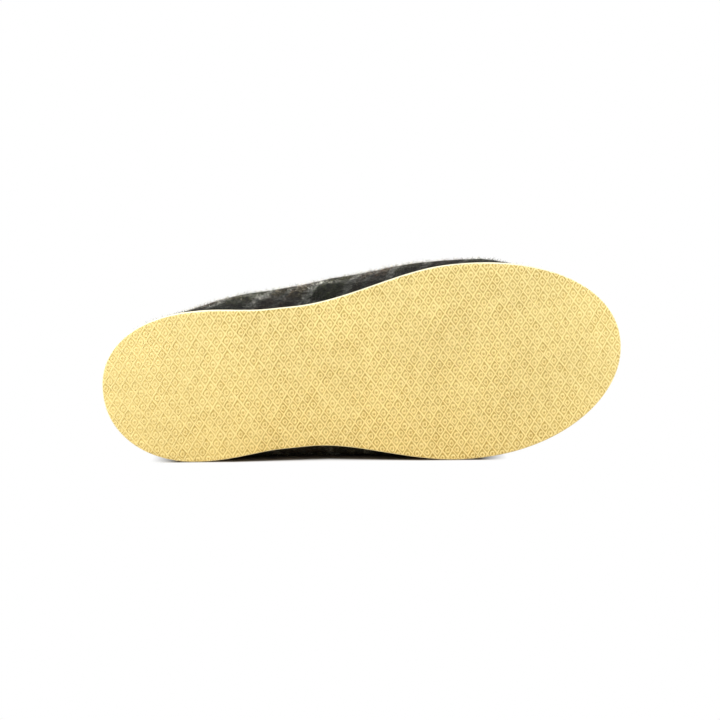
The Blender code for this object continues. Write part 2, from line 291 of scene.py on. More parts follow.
def smooth_through(positions: Sequence[float], heights: Sequence[float]) -> Curve:
    """Make a smooth function through points that doesn't overshoot between them.

    Args:
        positions: rising places of the points.
        heights: values at those places.

    Returns:
        A function from places to values.
    """
    x = np.array(positions)
    y = np.array(heights)
    step = np.diff(x)
    slope = np.diff(y) / step
    tangent = np.concatenate(([slope[0]], np.zeros(len(slope) - 1), [slope[-1]]))
    for i in range(1, len(slope)):
        if slope[i - 1] * slope[i] > 0.0:
            tangent[i] = 2.0 * slope[i - 1] * slope[i] / (slope[i - 1] + slope[i])

    def height_at(at: Array) -> Array:
        """Value of the curve at each place."""
        i = np.clip(np.searchsorted(x, at) - 1, 0, len(step) - 1)
        t = np.clip((at - x[i]) / step[i], 0.0, 1.0)
        start = y[i] + ease(t) * (y[i + 1] - y[i])
        lead = t * (1.0 - t) ** 2 * tangent[i] - t * t * (1.0 - t) * tangent[i + 1]
        return start + step[i] * lead

    return height_at


@dataclass(frozen=True)
class Last:
    """The form that sole, upper and insole share, in the slipper's own frame."""

    length: float = 0.260
    ball_width: float = 0.0975
    heel_width: float = 0.0752
    waist_width: float = 0.0704
    sole_thickness: float = 0.0060
    arch_rise: float = 0.0020
    toe_spring: float = 0.0070
    heel_spring: float = 0.0010
    toe_inflare: float = 0.0024
    heel_inflare: float = 0.0016
    end_inset: float = 0.0022
    feather_ratio: float = 0.97
    heel_bulge_height: float = 0.0220
    heel_foot_tuck: float = 0.0018
    heel_top_lean: float = 0.0075
    piece_gap: float = 0.0003
    press_softness: float = 0.0006
    heel_station: float = 0.190
    heel_end: float = 0.200
    waist_start: float = 0.330
    waist_end: float = 0.380
    ball_start: float = 0.690
    ball_station: float = 0.700
    heel_flat_start: float = 0.080
    arch_start: float = 0.290
    arch_end: float = 0.570
    toe_spring_start: float = 0.720
    toe_box_station: float = 0.840
    throat_station: float = 0.450
    heel_lean_end: float = 0.280
    heel_roundness: float = 2.15
    toe_roundness: float = 2.05
    toe_box_roundness: float = 2.40
    heel_tuck: float = 0.043
    heel_tuck_end: float = 0.240
    heel_tuck_full: float = 0.110
    toe_tuck: float = 0.030
    toe_tuck_start: float = 0.740
    toe_tuck_full: float = 0.840
    ankle_exponent: float = 1.50
    vamp_samples: int = 400
    vamp_even_share: float = 0.45
    floor_columns: int = 40
    floor_rounds: int = 8

    def section_curve(self, column: str) -> Curve:
        """Smooth function along the stations for one column of the section table."""
        return smooth_through([row.station for row in SECTIONS], [getattr(row, column) for row in SECTIONS])

    def sole_half_width(self, station: Array) -> Array:
        """Half the sole's width at a station."""
        heel = rounded((self.heel_station - station) / self.heel_station, self.heel_roundness)
        toe = rounded((station - self.ball_station) / (1.0 - self.ball_station), self.toe_roundness)
        waist = ease(ramp(station, self.heel_end, self.waist_start)) * (self.waist_width - self.heel_width)
        ball = ease(ramp(station, self.waist_end, self.ball_start)) * (self.ball_width - self.waist_width)
        return 0.5 * (self.heel_width + waist + ball) * heel * toe

    def middle_line(self, station: Array) -> Array:
        """Sideways place of the sole's middle: toe and heel end lean a little to the inner side."""
        toe = self.toe_inflare * ramp(station, self.ball_station, 1.0) ** 2
        return -(toe + self.heel_inflare * ramp(station, self.heel_station, 0.0) ** 2)

    def tread_height(self, x: Array) -> Array:
        """Height of the tread: flat under heel and ball, raised in the arch and at both ends."""
        station = x / self.length
        arch = self.arch_rise * np.sin(math.pi * ramp(station, self.arch_start, self.arch_end)) ** 2
        toe = self.toe_spring * ramp(station, self.toe_spring_start, 1.0) ** 2
        return arch + toe + self.heel_spring * ramp(station, self.heel_flat_start, 0.0) ** 2

    def sole_top(self, x: Array) -> Array:
        """Height of the sole's upper face."""
        return self.tread_height(x) + self.sole_thickness

    def feather_height(self, x: Array) -> Array:
        """Height at which the upper stands on the sole."""
        return self.sole_top(x) + self.piece_gap

    def sole_ring(self, columns: int) -> Array:
        """The sole's outline as a closed ring of plan points, with this many columns on each side."""
        station = even_turn(columns)
        x = station * self.length
        half = self.sole_half_width(station)
        middle = self.middle_line(station)
        return around(np.stack((x, middle + half), axis=-1), np.stack((x, middle - half), axis=-1))

    def floor_line(self) -> tuple[float, float]:
        """Find the plan line that touches the sole's outer side at heel and ball.

        Returns:
            The line's slope and its offset at the heel end.
        """
        outer = self.sole_ring(self.floor_columns)[: self.floor_columns + 1]
        back = outer[outer[:, 0] < self.waist_start * self.length]
        front = outer[outer[:, 0] > self.waist_end * self.length]
        slope = 0.0
        heel = back[0]
        for _ in range(self.floor_rounds):
            heel = back[np.argmax(back[:, 1] - slope * back[:, 0])]
            ball = front[np.argmax(front[:, 1] - slope * front[:, 0])]
            slope = (ball[1] - heel[1]) / (ball[0] - heel[0])
        return slope, heel[1] - slope * heel[0]

    def heel_back(self, z: Array) -> Array:
        """Where the back of the upper is at a height: tucked in at the foot, leaning in at the top."""
        above = np.maximum(z - self.heel_bulge_height, 0.0) / (COLLAR[0].height - self.heel_bulge_height)
        below = np.maximum(self.heel_bulge_height - z, 0.0) / (self.heel_bulge_height - self.sole_thickness)
        return self.end_inset + self.heel_top_lean * above**2 + self.heel_foot_tuck * below**2

    def upper_station(self, x: Array, z: Array) -> Array:
        """Station of a point of the upper, from the heel's back at its own height to the toe end."""
        fade = 1.0 - ease(ramp(x, 0.0, self.heel_lean_end * self.length))
        shifted = x - self.end_inset - (self.heel_back(z) - self.end_inset) * fade
        return np.clip(shifted / (self.length - 2.0 * self.end_inset), 0.0, 1.0)

    def toe_box(self, station: Array) -> Array:
        """Part of the crown's height that is left where the toe rounds off."""
        return rounded(ramp(station, self.toe_box_station, 1.0), self.toe_box_roundness)

    def tuck(self, station: Array) -> Array:
        """Part of the width by which the upper stays inside the sole's edge at heel and toe."""
        heel = self.heel_tuck * ease(ramp(station, self.heel_tuck_end, self.heel_tuck_full))
        return heel + self.toe_tuck * ease(ramp(station, self.toe_tuck_start, self.toe_tuck_full))

    def crown_height(self, x: Array) -> Array:
        """Height of the line along the top of the upper."""
        station = ramp(x, self.end_inset, self.length - self.end_inset)
        return self.feather_height(x) + self.section_curve("crown")(station) * self.toe_box(station)

    def upper_half_width(self, x: Array, z: Array) -> Array:
        """Half the upper's outer width at points of its side view."""
        station = self.upper_station(x, z)
        rise = z - self.feather_height(x)
        edge = self.sole_half_width(station)
        belly = self.section_curve("belly")(station) * self.toe_box(station)
        crown = self.section_curve("crown")(station) * self.toe_box(station)
        widest = edge * (1.0 - self.tuck(station)) + self.section_curve("overhang")(station)
        flare = np.sin(0.5 * math.pi * np.clip(rise / np.maximum(belly, self.piece_gap), 0.0, 1.0))
        fall = (rise - belly) / np.maximum(crown - belly, self.piece_gap)
        drawn_in = np.clip((rise - belly) / (COLLAR[0].height - self.sole_thickness - belly), 0.0, 1.0)
        wall = edge * self.feather_ratio + (widest - edge * self.feather_ratio) * flare
        ankle = 1.0 - self.section_curve("ankle")(station) * drawn_in**self.ankle_exponent
        return wall * rounded(fall, self.section_curve("fullness")(station)) * ankle

    def press_on_floor(self, x: Array, y: Array) -> Array:
        """Flatten the outer wall softly where it lies on the floor."""
        slope, offset = self.floor_line()
        over = (y - offset - slope * x) / self.press_softness
        return y - self.press_softness * np.logaddexp(0.0, over)

    def vamp_line(self, rows: Array) -> Array:
        """Points of the top line in side view, from the toe end up to the throat."""
        reach = np.linspace(0.0, 1.0, self.vamp_samples) ** 2
        x = self.length - self.end_inset
        x = x - reach * (self.length * (1.0 - self.throat_station) - self.end_inset)
        z = self.crown_height(x)
        length = np.concatenate(([0.0], np.cumsum(np.hypot(np.diff(x), np.diff(z)))))
        wanted = length[-1] * (self.vamp_even_share * rows + (1.0 - self.vamp_even_share) * ease(rows))
        return np.stack((np.interp(wanted, length, x), np.interp(wanted, length, z)), axis=-1)

    def heel_line(self, rows: Array) -> Array:
        """Points of the heel's back in side view, from the sole up to the collar."""
        foot = self.feather_height(self.heel_back(self.sole_thickness))
        z = foot + rows * (COLLAR[0].height - foot)
        return np.stack((self.heel_back(z), z), axis=-1)

    def side_view_grid(self, columns: int, row_count: int) -> Array:
        """Fill the side view between sole, heel, collar and vamp with rows of points."""
        rows = np.linspace(0.0, 1.0, row_count + 1)
        turn = even_turn(columns)
        heel = self.heel_line(rows)
        vamp = self.vamp_line(rows)
        foot_x = heel[0, 0] + turn * (vamp[0, 0] - heel[0, 0])
        foot = np.stack((foot_x, self.feather_height(foot_x)), axis=-1)
        collar_x = heel[-1, 0] + turn * (vamp[-1, 0] - heel[-1, 0])
        collar_at = smooth_through(
            [point.along for point in COLLAR] + [1.0],
            [point.height for point in COLLAR] + [vamp[-1, 1]],
        )
        collar = np.stack((collar_x, collar_at(turn)), axis=-1)
        v = rows[:, None, None]
        u = turn[None, :, None]
        between_edges = (1.0 - v) * foot[None] + v * collar[None]
        between_ends = (1.0 - u) * heel[:, None] + u * vamp[:, None]
        at_foot = (1.0 - u) * foot[0] + u * foot[-1]
        at_collar = (1.0 - u) * collar[0] + u * collar[-1]
        return between_edges + between_ends - (1.0 - v) * at_foot - v * at_collar

    def upper_skin(self, columns: int, rows: int) -> Array:
        """The upper's outer skin as rings of points, from the sole's edge up to the collar."""
        grid = self.side_view_grid(columns, rows)
        x = grid[..., 0]
        z = grid[..., 1]
        half = self.upper_half_width(x, z)
        half[:, [0, -1]] = 0.0
        middle = self.middle_line(x / self.length)
        outer = np.stack((x, self.press_on_floor(x, middle + half), z), axis=-1)
        inner = np.stack((x, middle - half, z), axis=-1)
        inner[:, [0, -1]] = outer[:, [0, -1]]
        return around(outer, inner)


@dataclass(frozen=True)
class Lie:
    """Where the slipper's own frame lies in the world."""

    origin: Array
    axes: Array  # rows are the directions to the toe, to the outer side and up from the tread

    @classmethod
    def from_record(cls, record: dict, last: Last, heel: float = 0.17) -> "Lie":
        """Work the frame out from the record's two mounts on the tread.

        Args:
            record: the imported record.
            last: the slipper's form.
            heel: station of the heel mount.

        Returns:
            The frame.
        """
        mounts = {mount["name"]: mount for mount in record["mounts"]}
        at_heel = np.array(mounts["tread_heel"]["pos_m"])
        along = unit(np.array(mounts["tread_forefoot"]["pos_m"]) - at_heel)
        up = -np.array(mounts["tread_heel"]["axis"], float)
        return cls(at_heel - heel * last.length * along, np.stack((along, np.cross(up, along), up)))

    def to_world(self, points: Array) -> Array:
        """Points of the slipper's own frame in the world."""
        return self.origin + points @ self.axes

    def turn(self, directions: Array) -> Array:
        """Directions of the slipper's own frame in the world."""
        return directions @ self.axes


@dataclass(frozen=True)
class Graph:
    """Adds and links the nodes of one node tree."""

    tree: NodeTree

    def fill(self, node: Node, inputs: dict[Any, Any]) -> None:
        """Give inputs of a node, by name or number, a value or another node's output each."""
        for key, value in inputs.items():
            if isinstance(value, NodeSocket):
                self.tree.links.new(value, node.inputs[key])
            else:
                node.inputs[key].default_value = value

    def add(self, kind: str, inputs: dict[Any, Any] | None = None, **settings: Any) -> Node:
        """Add a node.

        Args:
            kind: the node's type.
            inputs: a value or another node's output for each input, by name or number.
            settings: values of the node's own properties.

        Returns:
            The node.
        """
        node = self.tree.nodes.new(kind)
        for name, value in settings.items():
            setattr(node, name, value)
        self.fill(node, inputs or {})
        return node

    def math(self, operation: str, first: Any, second: Any = 0.0, third: Any = 0.0) -> NodeSocket:
        """Output of a Math node."""
        return self.add("ShaderNodeMath", {0: first, 1: second, 2: third}, operation=operation).outputs[0]

    def vector(self, operation: str, first: Any, second: Any = (0.0, 0.0, 0.0)) -> NodeSocket:
        """Output of a Vector Math node."""
        return self.add("ShaderNodeVectorMath", {0: first, 1: second}, operation=operation).outputs[0]

    def length(self, vector: Any) -> NodeSocket:
        """Length of a vector."""
        return self.add("ShaderNodeVectorMath", {0: vector}, operation="LENGTH").outputs["Value"]

    def scaled(self, vector: Any, factor: Any) -> NodeSocket:
        """A vector multiplied by a number."""
        return self.add("ShaderNodeVectorMath", {0: vector, "Scale": factor}, operation="SCALE").outputs[0]

    def span(self, value: Any, start: Any, end: Any, low: Any, high: Any) -> NodeSocket:
        """Output of a Map Range node that clamps."""
        inputs = {"Value": value, 1: start, 2: end, 3: low, 4: high}
        return self.add("ShaderNodeMapRange", inputs).outputs[0]

    def join(self, x: Any, y: Any, z: Any) -> NodeSocket:
        """A vector of three numbers."""
        return self.add("ShaderNodeCombineXYZ", {0: x, 1: y, 2: z}).outputs[0]

    def mix(self, factor: Any, first: Any, second: Any, blend: str = "MIX") -> NodeSocket:
        """Colour output of a Mix node."""
        inputs = {0: factor}
        for number, colour in ((6, first), (7, second)):
            linked = isinstance(colour, NodeSocket)
            inputs[number] = colour if linked else (*colour, 1.0)
        return self.add("ShaderNodeMix", inputs, data_type="RGBA", blend_type=blend).outputs[2]

    def shaded(self, colour: Any, shade: Any) -> NodeSocket:
        """A colour multiplied by a shade."""
        return self.mix(1.0, colour, self.join(shade, shade, shade), "MULTIPLY")

    def noise(self, vector: Any, grain: Grain, output: str = "Fac") -> NodeSocket:
        """Value of a Noise Texture, or its colour."""
        inputs = {"Vector": vector, "Scale": grain.scale, "Detail": grain.detail}
        inputs["Roughness"] = grain.roughness
        return self.add("ShaderNodeTexNoise", inputs).outputs[output]

    def bump(self, height: Any, depth: float) -> NodeSocket:
        """Normal of a relief of that depth."""
        return self.add("ShaderNodeBump", {"Height": height, "Distance": depth, "Strength": 1.0}).outputs[0]

    def attribute(self, name: str, output: str = "Fac") -> NodeSocket:
        """A mesh attribute in a material."""
        return self.add("ShaderNodeAttribute", attribute_name=name).outputs[output]

    def named(self, name: str, kind: str) -> NodeSocket:
        """A mesh attribute in a geometry tree."""
        return self.add("GeometryNodeInputNamedAttribute", {"Name": name}, data_type=kind).outputs[0]

    def store(self, geometry: Any, name: str, value: Any, kind: str) -> NodeSocket:
        """Geometry whose points keep a value as an attribute."""
        inputs = {"Geometry": geometry, "Name": name, "Value": value}
        return self.add("GeometryNodeStoreNamedAttribute", inputs, data_type=kind, domain="POINT").outputs[0]

    def random(self, kind: str, least: Any, most: Any, seed: Any) -> NodeSocket:
        """A random value of that type for each point."""
        number = RANDOM_TYPES.index(kind)
        inputs = {2 * number: least, 2 * number + 1: most, "Seed": seed}
        return self.add("FunctionNodeRandomValue", inputs, data_type=kind).outputs[number]

    def repeat(self, inputs: dict[str, Any]) -> NodeSocket:
        """Real copies of a stamp on points."""
        laid = self.add("GeometryNodeInstanceOnPoints", inputs)
        return self.add("GeometryNodeRealizeInstances", {0: laid.outputs[0]}).outputs[0]

    def output(self, name: str, socket: NodeSocket) -> None:
        """Link a socket to the tree's output of that name."""
        found = [node for node in self.tree.nodes if node.type == "GROUP_OUTPUT"]
        node = found[0] if found else self.add("NodeGroupOutput")
        self.tree.links.new(socket, node.inputs[name])

    def dress(self, geometry: Any, material: Any) -> None:
        """Give finished geometry its material and put it out."""
        dressed = self.add("GeometryNodeSetMaterial", {"Geometry": geometry, "Material": material})
        self.output("Geometry", dressed.outputs[0])


class Kind(Enum):
    """What a socket of a node tree holds."""

    NUMBER = "NodeSocketFloat"
    COUNT = "NodeSocketInt"
    VECTOR = "NodeSocketVector"
    COLOUR = "NodeSocketColor"
    GEOMETRY = "NodeSocketGeometry"
    OBJECT = "NodeSocketObject"
    COLLECTION = "NodeSocketCollection"
    MATERIAL = "NodeSocketMaterial"


SHAPE_IN = {"Geometry": Kind.GEOMETRY, "Material": Kind.MATERIAL}
SHAPE_OUT = {"Geometry": Kind.GEOMETRY}
EFFECT_IN = {"Vector": Kind.VECTOR, "Contrast": Kind.NUMBER}
EFFECT_OUT = {"Shade": Kind.NUMBER, "Height": Kind.NUMBER}


def make_tree(name: str, inputs: dict[str, Kind], outputs: dict[str, Kind]) -> tuple[Graph, dict]:
    """Start a geometry tree or a shader group with named sockets.

    Args:
        name: the tree's name.
        inputs: what its inputs hold, by name.
        outputs: what its outputs hold, by name.

    Returns:
        The graph to build it with, and its input sockets by name.
    """
    tree_type = "GeometryNodeTree" if Kind.GEOMETRY in outputs.values() else "ShaderNodeTree"
    tree = bpy.data.node_groups.new(name, tree_type)
    for direction, sockets in (("INPUT", inputs), ("OUTPUT", outputs)):
        for socket, kind in sockets.items():
            tree.interface.new_socket(socket, in_out=direction, socket_type=kind.value)
    graph = Graph(tree)
    entry = graph.add("NodeGroupInput")
    return graph, {socket: entry.outputs[socket] for socket in inputs}


def new_object(name: str, data: Any) -> Object:
    """A new object in the scene."""
    made = bpy.data.objects.new(name, data)
    bpy.context.scene.collection.objects.link(made)
    return made


def run_nodes(tree: NodeTree, source: Mesh, values: dict[str, Any]) -> Mesh:
    """Run a geometry tree on a mesh.

    Args:
        tree: the geometry node tree.
        source: the mesh that it starts from.
        values: the tree's inputs by name.

    Returns:
        The result as a plain mesh.
    """
    holder = new_object(tree.name, source)
    modifier = holder.modifiers.new(tree.name, "NODES")
    modifier.node_group = tree
    sockets = [item for item in tree.interface.items_tree if item.item_type == "SOCKET"]
    identifiers = {item.name: item.identifier for item in sockets if item.in_out == "INPUT"}
    for name, value in values.items():
        modifier[identifiers[name]] = value
    evaluated = holder.evaluated_get(bpy.context.evaluated_depsgraph_get())
    mesh = bpy.data.meshes.new_from_object(evaluated)
    holder.modifiers.remove(modifier)
    bpy.data.objects.remove(holder)
    return mesh


def mesh_from(name: str, points: Sequence, faces: Sequence, edges: Sequence = ()) -> Mesh:
    """A new mesh from points and faces."""
    mesh = bpy.data.meshes.new(name)
    mesh.from_pydata(np.asarray(points, float).tolist(), list(edges), faces)
    return mesh


def set_materials(mesh: Mesh, finishes: Sequence, counts: Sequence[int]) -> None:
    """Give a mesh its materials, each for that many of its faces in turn."""
    for finish in finishes:
        mesh.materials.append(finish)
    kinds = np.repeat(np.arange(len(counts)), counts)
    mesh.polygons.foreach_set("material_index", kinds.astype(np.int32))


def set_attribute(mesh: Mesh, name: str, values: Sequence) -> None:
    """Keep a number for each point of a mesh as an attribute."""
    attribute = mesh.attributes.new(name, "FLOAT", "POINT")
    attribute.data.foreach_set("value", np.asarray(values, np.float32).ravel())


def ring_faces(rows: int, columns: int) -> Array:
    """Quads between rows of a closed ring, as corner numbers counted row by row."""
    row = np.arange(rows - 1)[:, None]
    column = np.arange(columns)[None]
    following = (column + 1) % columns
    corners = (
        row * columns + column,
        (row + 1) * columns + column,
        (row + 1) * columns + following,
        row * columns + following,
    )
    return np.stack(np.broadcast_arrays(*corners), axis=-1).reshape(-1, 4)


def ring_normals(ring: Array) -> Array:
    """Outward plan directions of a closed ring of plan points."""
    along = np.roll(ring, -1, axis=0) - np.roll(ring, 1, axis=0)
    return unit(np.stack((-along[:, 1], along[:, 0]), axis=-1))


def plate_faces(ring: Sequence[int], first_new: int, strips: int) -> list[list[int]]:
    """Faces of strips across a ring, from heel to toe.

    Args:
        ring: corner numbers of the ring, with the heel first and the toe half way.
        first_new: number of the first corner between the two sides.
        strips: number of strips across.

    Returns:
        The faces. The new corners are counted from heel to toe and from the outer to the inner side.
    """
    toe = len(ring) // 2
    rows = [[ring[0]] * (strips + 1)]
    for i in range(1, toe):
        start = first_new + (i - 1) * (strips - 1)
        rows.append([ring[i], *range(start, start + strips - 1), ring[-i]])
    rows.append([ring[toe]] * (strips + 1))
    faces = []
    for row, following in zip(rows, rows[1:]):
        for k in range(strips):
            corners = (row[k], row[k + 1], following[k + 1], following[k])
            faces.append(list(dict.fromkeys(corners)))
    return faces


def plate_points(ring: Array, strips: int) -> Array:
    """Plan points between the two sides of a ring, in the order that plate_faces counts them."""
    toe = len(ring) // 2
    outer = ring[1:toe]
    inner = ring[:toe:-1]
    share = (np.arange(1, strips) / strips)[None, :, None]
    return (outer[:, None] * (1.0 - share) + inner[:, None] * share).reshape(-1, ring.shape[-1])


def add_piece(name: str, mesh: Mesh, replaced: str = "") -> Object:
    """Put a finished mesh into the scene as a piece of the slipper.

    Args:
        name: the piece's name.
        mesh: its mesh, in world places.
        replaced: the CAD node that it stands for, if any.

    Returns:
        The object.
    """
    mesh.name = name
    piece = new_object(name, mesh)
    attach(piece, BODY)
    if replaced:
        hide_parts(replaced)
    mesh.calc_loop_triangles()
    LOG.info("%s: %d triangles", name, len(mesh.loop_triangles))
    return piece


@dataclass
class SharedEffects:
    """Shader node groups that several finishes use, each built once."""

    swirl_grain: Grain = Grain(260.0, 2.0)
    swirl: float = 0.004  # how far fibres are swirled
    fibre_grain: Grain = Grain(1500.0, 5.0, 0.65)
    fibre_share: float = 0.33
    tuft_grain: Grain = Grain(480.0, 2.0, 0.6)
    tuft_share: float = 0.55
    matting_grain: Grain = Grain(95.0, 3.0, 0.6)
    matting_share: float = 0.12
    felting_swing: float = 8.0  # doublings of the shade over the whole range of heights, at a contrast of 1
    twill_pitch: float = 0.0011
    twill_turn: float = 0.6  # part of the twill's wave over which one yarn gives way to the other
    weft_share: tuple[float, float] = (0.08, 0.54)
    soft_edge: float = 0.0016
    stray_grain: Grain = Grain(700.0, 3.0)
    stray: float = 0.0034  # how far single fibres stray over a stripe's edge
    wander_grain: Grain = Grain(170.0, 2.0)
    wander: float = 0.0022  # how far whole stripes wander
    fleck_grain: Grain = Grain(620.0, 3.0, 0.6)
    fleck_range: tuple[float, float] = (0.50, 0.72)
    fleck_share: float = 0.55
    cloud_grain: Grain = Grain(28.0, 4.0, 0.55)
    spot_grain: Grain = Grain(420.0, 3.0, 0.6)
    rubber_grain: Grain = Grain(2600.0, 3.0, 0.6)
    mottle_swing: float = 4.0

    def __post_init__(self) -> None:
        """Build the groups."""
        self.felting = self.build_felting()
        self.tartan = self.build_tartan()
        self.mottle = self.build_mottle()

    def build_felting(self) -> NodeTree:
        """Matted wool fibres.

        Returns:
            A group with a shade around 1 and a height from 0 to 1.
        """
        graph, entry = make_tree("felting", EFFECT_IN, EFFECT_OUT)
        swirl = graph.noise(entry["Vector"], self.swirl_grain, "Color")
        bent = graph.vector("ADD", entry["Vector"], graph.scaled(swirl, self.swirl))
        fibre = graph.noise(bent, self.fibre_grain)
        tuft = graph.noise(bent, self.tuft_grain)
        matting = graph.noise(entry["Vector"], self.matting_grain)
        patch = graph.math("MULTIPLY", matting, self.matting_share)
        patch = graph.math("MULTIPLY_ADD", tuft, self.tuft_share, patch)
        blend = graph.math("MULTIPLY_ADD", fibre, self.fibre_share, patch)
        swing = graph.math("MULTIPLY", entry["Contrast"], self.felting_swing)
        steps = graph.math("MULTIPLY", graph.math("SUBTRACT", blend, 0.5), swing)
        graph.output("Shade", graph.math("POWER", 2.0, steps))
        graph.output("Height", blend)
        return graph.tree

    def stripe_chart(self, graph: Graph, place: NodeSocket) -> NodeSocket:
        """Colour of the tartan's yarns at a place along one of its two ways."""
        repeat = sum(stripe.width for stripe in TARTAN)
        share = graph.math("FRACT", graph.math("DIVIDE", place, repeat))
        chart = graph.add("ShaderNodeValToRGB", {0: share})
        stops = chart.color_ramp.elements
        stops.remove(stops[-1])
        start = 0.0
        for stripe in TARTAN:
            for edge in (start + 0.5 * self.soft_edge, start + stripe.width - 0.5 * self.soft_edge):
                stop = stops.new(edge / repeat)
                stop.color = (*stripe.yarn.value, 1.0)
            start += stripe.width
        stops.remove(stops[0])
        return chart.outputs[0]

    def build_tartan(self) -> NodeTree:
        """Tartan of dyed yarns in twill weave.

        Returns:
            A group with the cloth's colour and the height of its weave.
        """
        outputs = {"Color": Kind.COLOUR, "Height": Kind.NUMBER}
        graph, entry = make_tree("tartan", {"Vector": Kind.VECTOR}, outputs)
        place = entry["Vector"]
        for grain, way in ((self.stray_grain, self.stray), (self.wander_grain, self.wander)):
            drift = graph.vector("SUBTRACT", graph.noise(entry["Vector"], grain, "Color"), CENTRE)
            place = graph.vector("ADD", place, graph.scaled(drift, 2.0 * way))
        parts = graph.add("ShaderNodeSeparateXYZ", {0: place}).outputs
        warp = self.stripe_chart(graph, parts[0])
        weft = self.stripe_chart(graph, parts[1])
        diagonal = graph.math("ADD", parts[0], parts[1])
        wave = graph.math("SINE", graph.math("MULTIPLY", diagonal, 2.0 * math.pi / self.twill_pitch))
        over = graph.span(wave, -self.twill_turn, self.twill_turn, *self.weft_share)
        cloth = graph.mix(over, warp, weft)
        speck = graph.noise(place, self.fleck_grain)
        fleck = graph.span(speck, *self.fleck_range, 0.0, self.fleck_share)
        graph.output("Color", graph.mix(fleck, cloth, Yarn.HEATHER.value))
        graph.output("Height", graph.math("MULTIPLY_ADD", wave, 0.5, 0.5))
        return graph.tree

    def build_mottle(self) -> NodeTree:
        """Uneven tone of cast rubber.

        Returns:
            A group with a shade around 1 and the height of a fine grain.
        """
        graph, entry = make_tree("mottle", EFFECT_IN, EFFECT_OUT)
        cloud = graph.noise(entry["Vector"], self.cloud_grain)
        spot = graph.noise(entry["Vector"], self.spot_grain)
        blend = graph.math("MULTIPLY_ADD", spot, 0.5, graph.math("MULTIPLY", cloud, 0.5))
        centred = graph.math("SUBTRACT", blend, 0.5)
        swing = graph.math("MULTIPLY", entry["Contrast"], self.mottle_swing)
        graph.output("Shade", graph.math("MULTIPLY_ADD", centred, swing, 1.0))
        graph.output("Height", graph.noise(entry["Vector"], self.rubber_grain))
        return graph.tree


def start_material(name: str) -> tuple[Graph, Node]:
    """A new material with its graph and its Principled BSDF."""
    material = bpy.data.materials.new(name)
    material.use_nodes = True
    graph = Graph(material.node_tree)
    return graph, material.node_tree.nodes["Principled BSDF"]


def add_effect(graph: Graph, effect: NodeTree, contrast: float) -> NodeOutputs:
    """Add a shared group on the piece's own places and give its outputs."""
    place = graph.add("ShaderNodeTexCoord").outputs["Object"]
    return graph.add("ShaderNodeGroup", {"Vector": place, "Contrast": contrast}, node_tree=effect).outputs


@dataclass(frozen=True)
class RubberFinish:
    """Micro rubber: pale on the ribs and darker in the moulded hollows, where the darkening is painted
    shade.
    """

    name: str
    crest: Colour
    # painted shade: the colour that the deepest hollows are darkened to
    hollow: Colour
    roughness: tuple[float, float] = (0.56, 0.68)  # in the grain's pits and on its tops
    grain_range: tuple[float, float] = (0.3, 0.7)
    specular: float = 0.30
    contrast: float = 0.10
    grain_depth: float = 0.00006

    def build(self, effects: SharedEffects) -> Material:
        """Make the material."""
        graph, surface = start_material(self.name)
        mottle = add_effect(graph, effects.mottle, self.contrast)
        # painted shade: the colour darkens from crest to hollow with the relief's depth
        colour = graph.mix(graph.attribute("relief"), self.crest, self.hollow)
        inputs = {
            "Base Color": graph.shaded(colour, mottle["Shade"]),
            "Roughness": graph.span(mottle["Height"], *self.grain_range, *self.roughness),
            "Specular IOR Level": self.specular,
            "Normal": graph.bump(mottle["Height"], self.grain_depth),
        }
        graph.fill(surface, inputs)
        return bpy.data.materials[self.name]


@dataclass(frozen=True)
class TartanFinish:
    """Brushed tartan wool, for the cloth itself or for its loose fibres."""

    name: str
    coordinate: str  # the attribute that holds the place on the flat cloth
    lift: float  # brightness
    tone: str = ""  # the attribute that holds each fibre's brightness, if any: its own random tone times the painted shade and light of its height on the cloth
    shaded_foot_tone: float = 0.45  # brightness at a loose fibre's foot, darkened as painted shade
    lit_tip_tone: float = 3.6  # brightness at its tip, lightened as painted light for a backlit tip
    matting: float = 0.6  # share of the cloth's mixed colour at its tip
    pressed_and_shaded: float = 1.0  # brightness of the cloth low on the upper where the nap lies flat: partly that and partly painted shade
    raised: float = 1.0  # brightness of the cloth where the nap stands up: partly that and partly painted light near the top
    contrast: float = 0.55
    roughness: float = 0.95
    specular: float = 0.03
    sheen: float = 0.25
    sheen_roughness: float = 0.3
    weave_depth: float = 0.00025
    felt_depth: float = 0.00055

    def build(self, effects: SharedEffects) -> Material:
        """Make the material."""
        graph, surface = start_material(self.name)
        flat = graph.attribute(self.coordinate, "Vector")
        tartan = graph.add("ShaderNodeGroup", {"Vector": flat}, node_tree=effects.tartan).outputs
        felting = add_effect(graph, effects.felting, self.contrast)
        colour = tartan["Color"]
        if self.tone:
            # painted light: tips lighter than feet, standing in for light through the fibres
            tip = graph.attribute("tip")
            along = graph.span(tip, 0.0, 1.0, self.shaded_foot_tone, self.lit_tip_tone)
            lit = graph.math("MULTIPLY", graph.attribute(self.tone), along)
            colour = graph.mix(graph.math("MULTIPLY", tip, self.matting), colour, Yarn.HEATHER.value)
        else:
            # painted shade low on the cloth and painted light high on it, along with the nap's own change
            lit = graph.span(graph.attribute("nap"), Upper.pressed_nap, 1.0, self.pressed_and_shaded, self.raised)
        shade = graph.math("MULTIPLY", graph.math("MULTIPLY", felting["Shade"], self.lift), lit)
        weave = graph.math("MULTIPLY", tartan["Height"], self.weave_depth / self.felt_depth)
        inputs = {
            "Base Color": graph.shaded(colour, shade),
            "Roughness": self.roughness,
            "Specular IOR Level": self.specular,
            "Sheen Weight": self.sheen,
            "Sheen Roughness": self.sheen_roughness,
            "Normal": graph.bump(graph.math("ADD", weave, felting["Height"]), self.felt_depth),
        }
        graph.fill(surface, inputs)
        return bpy.data.materials[self.name]


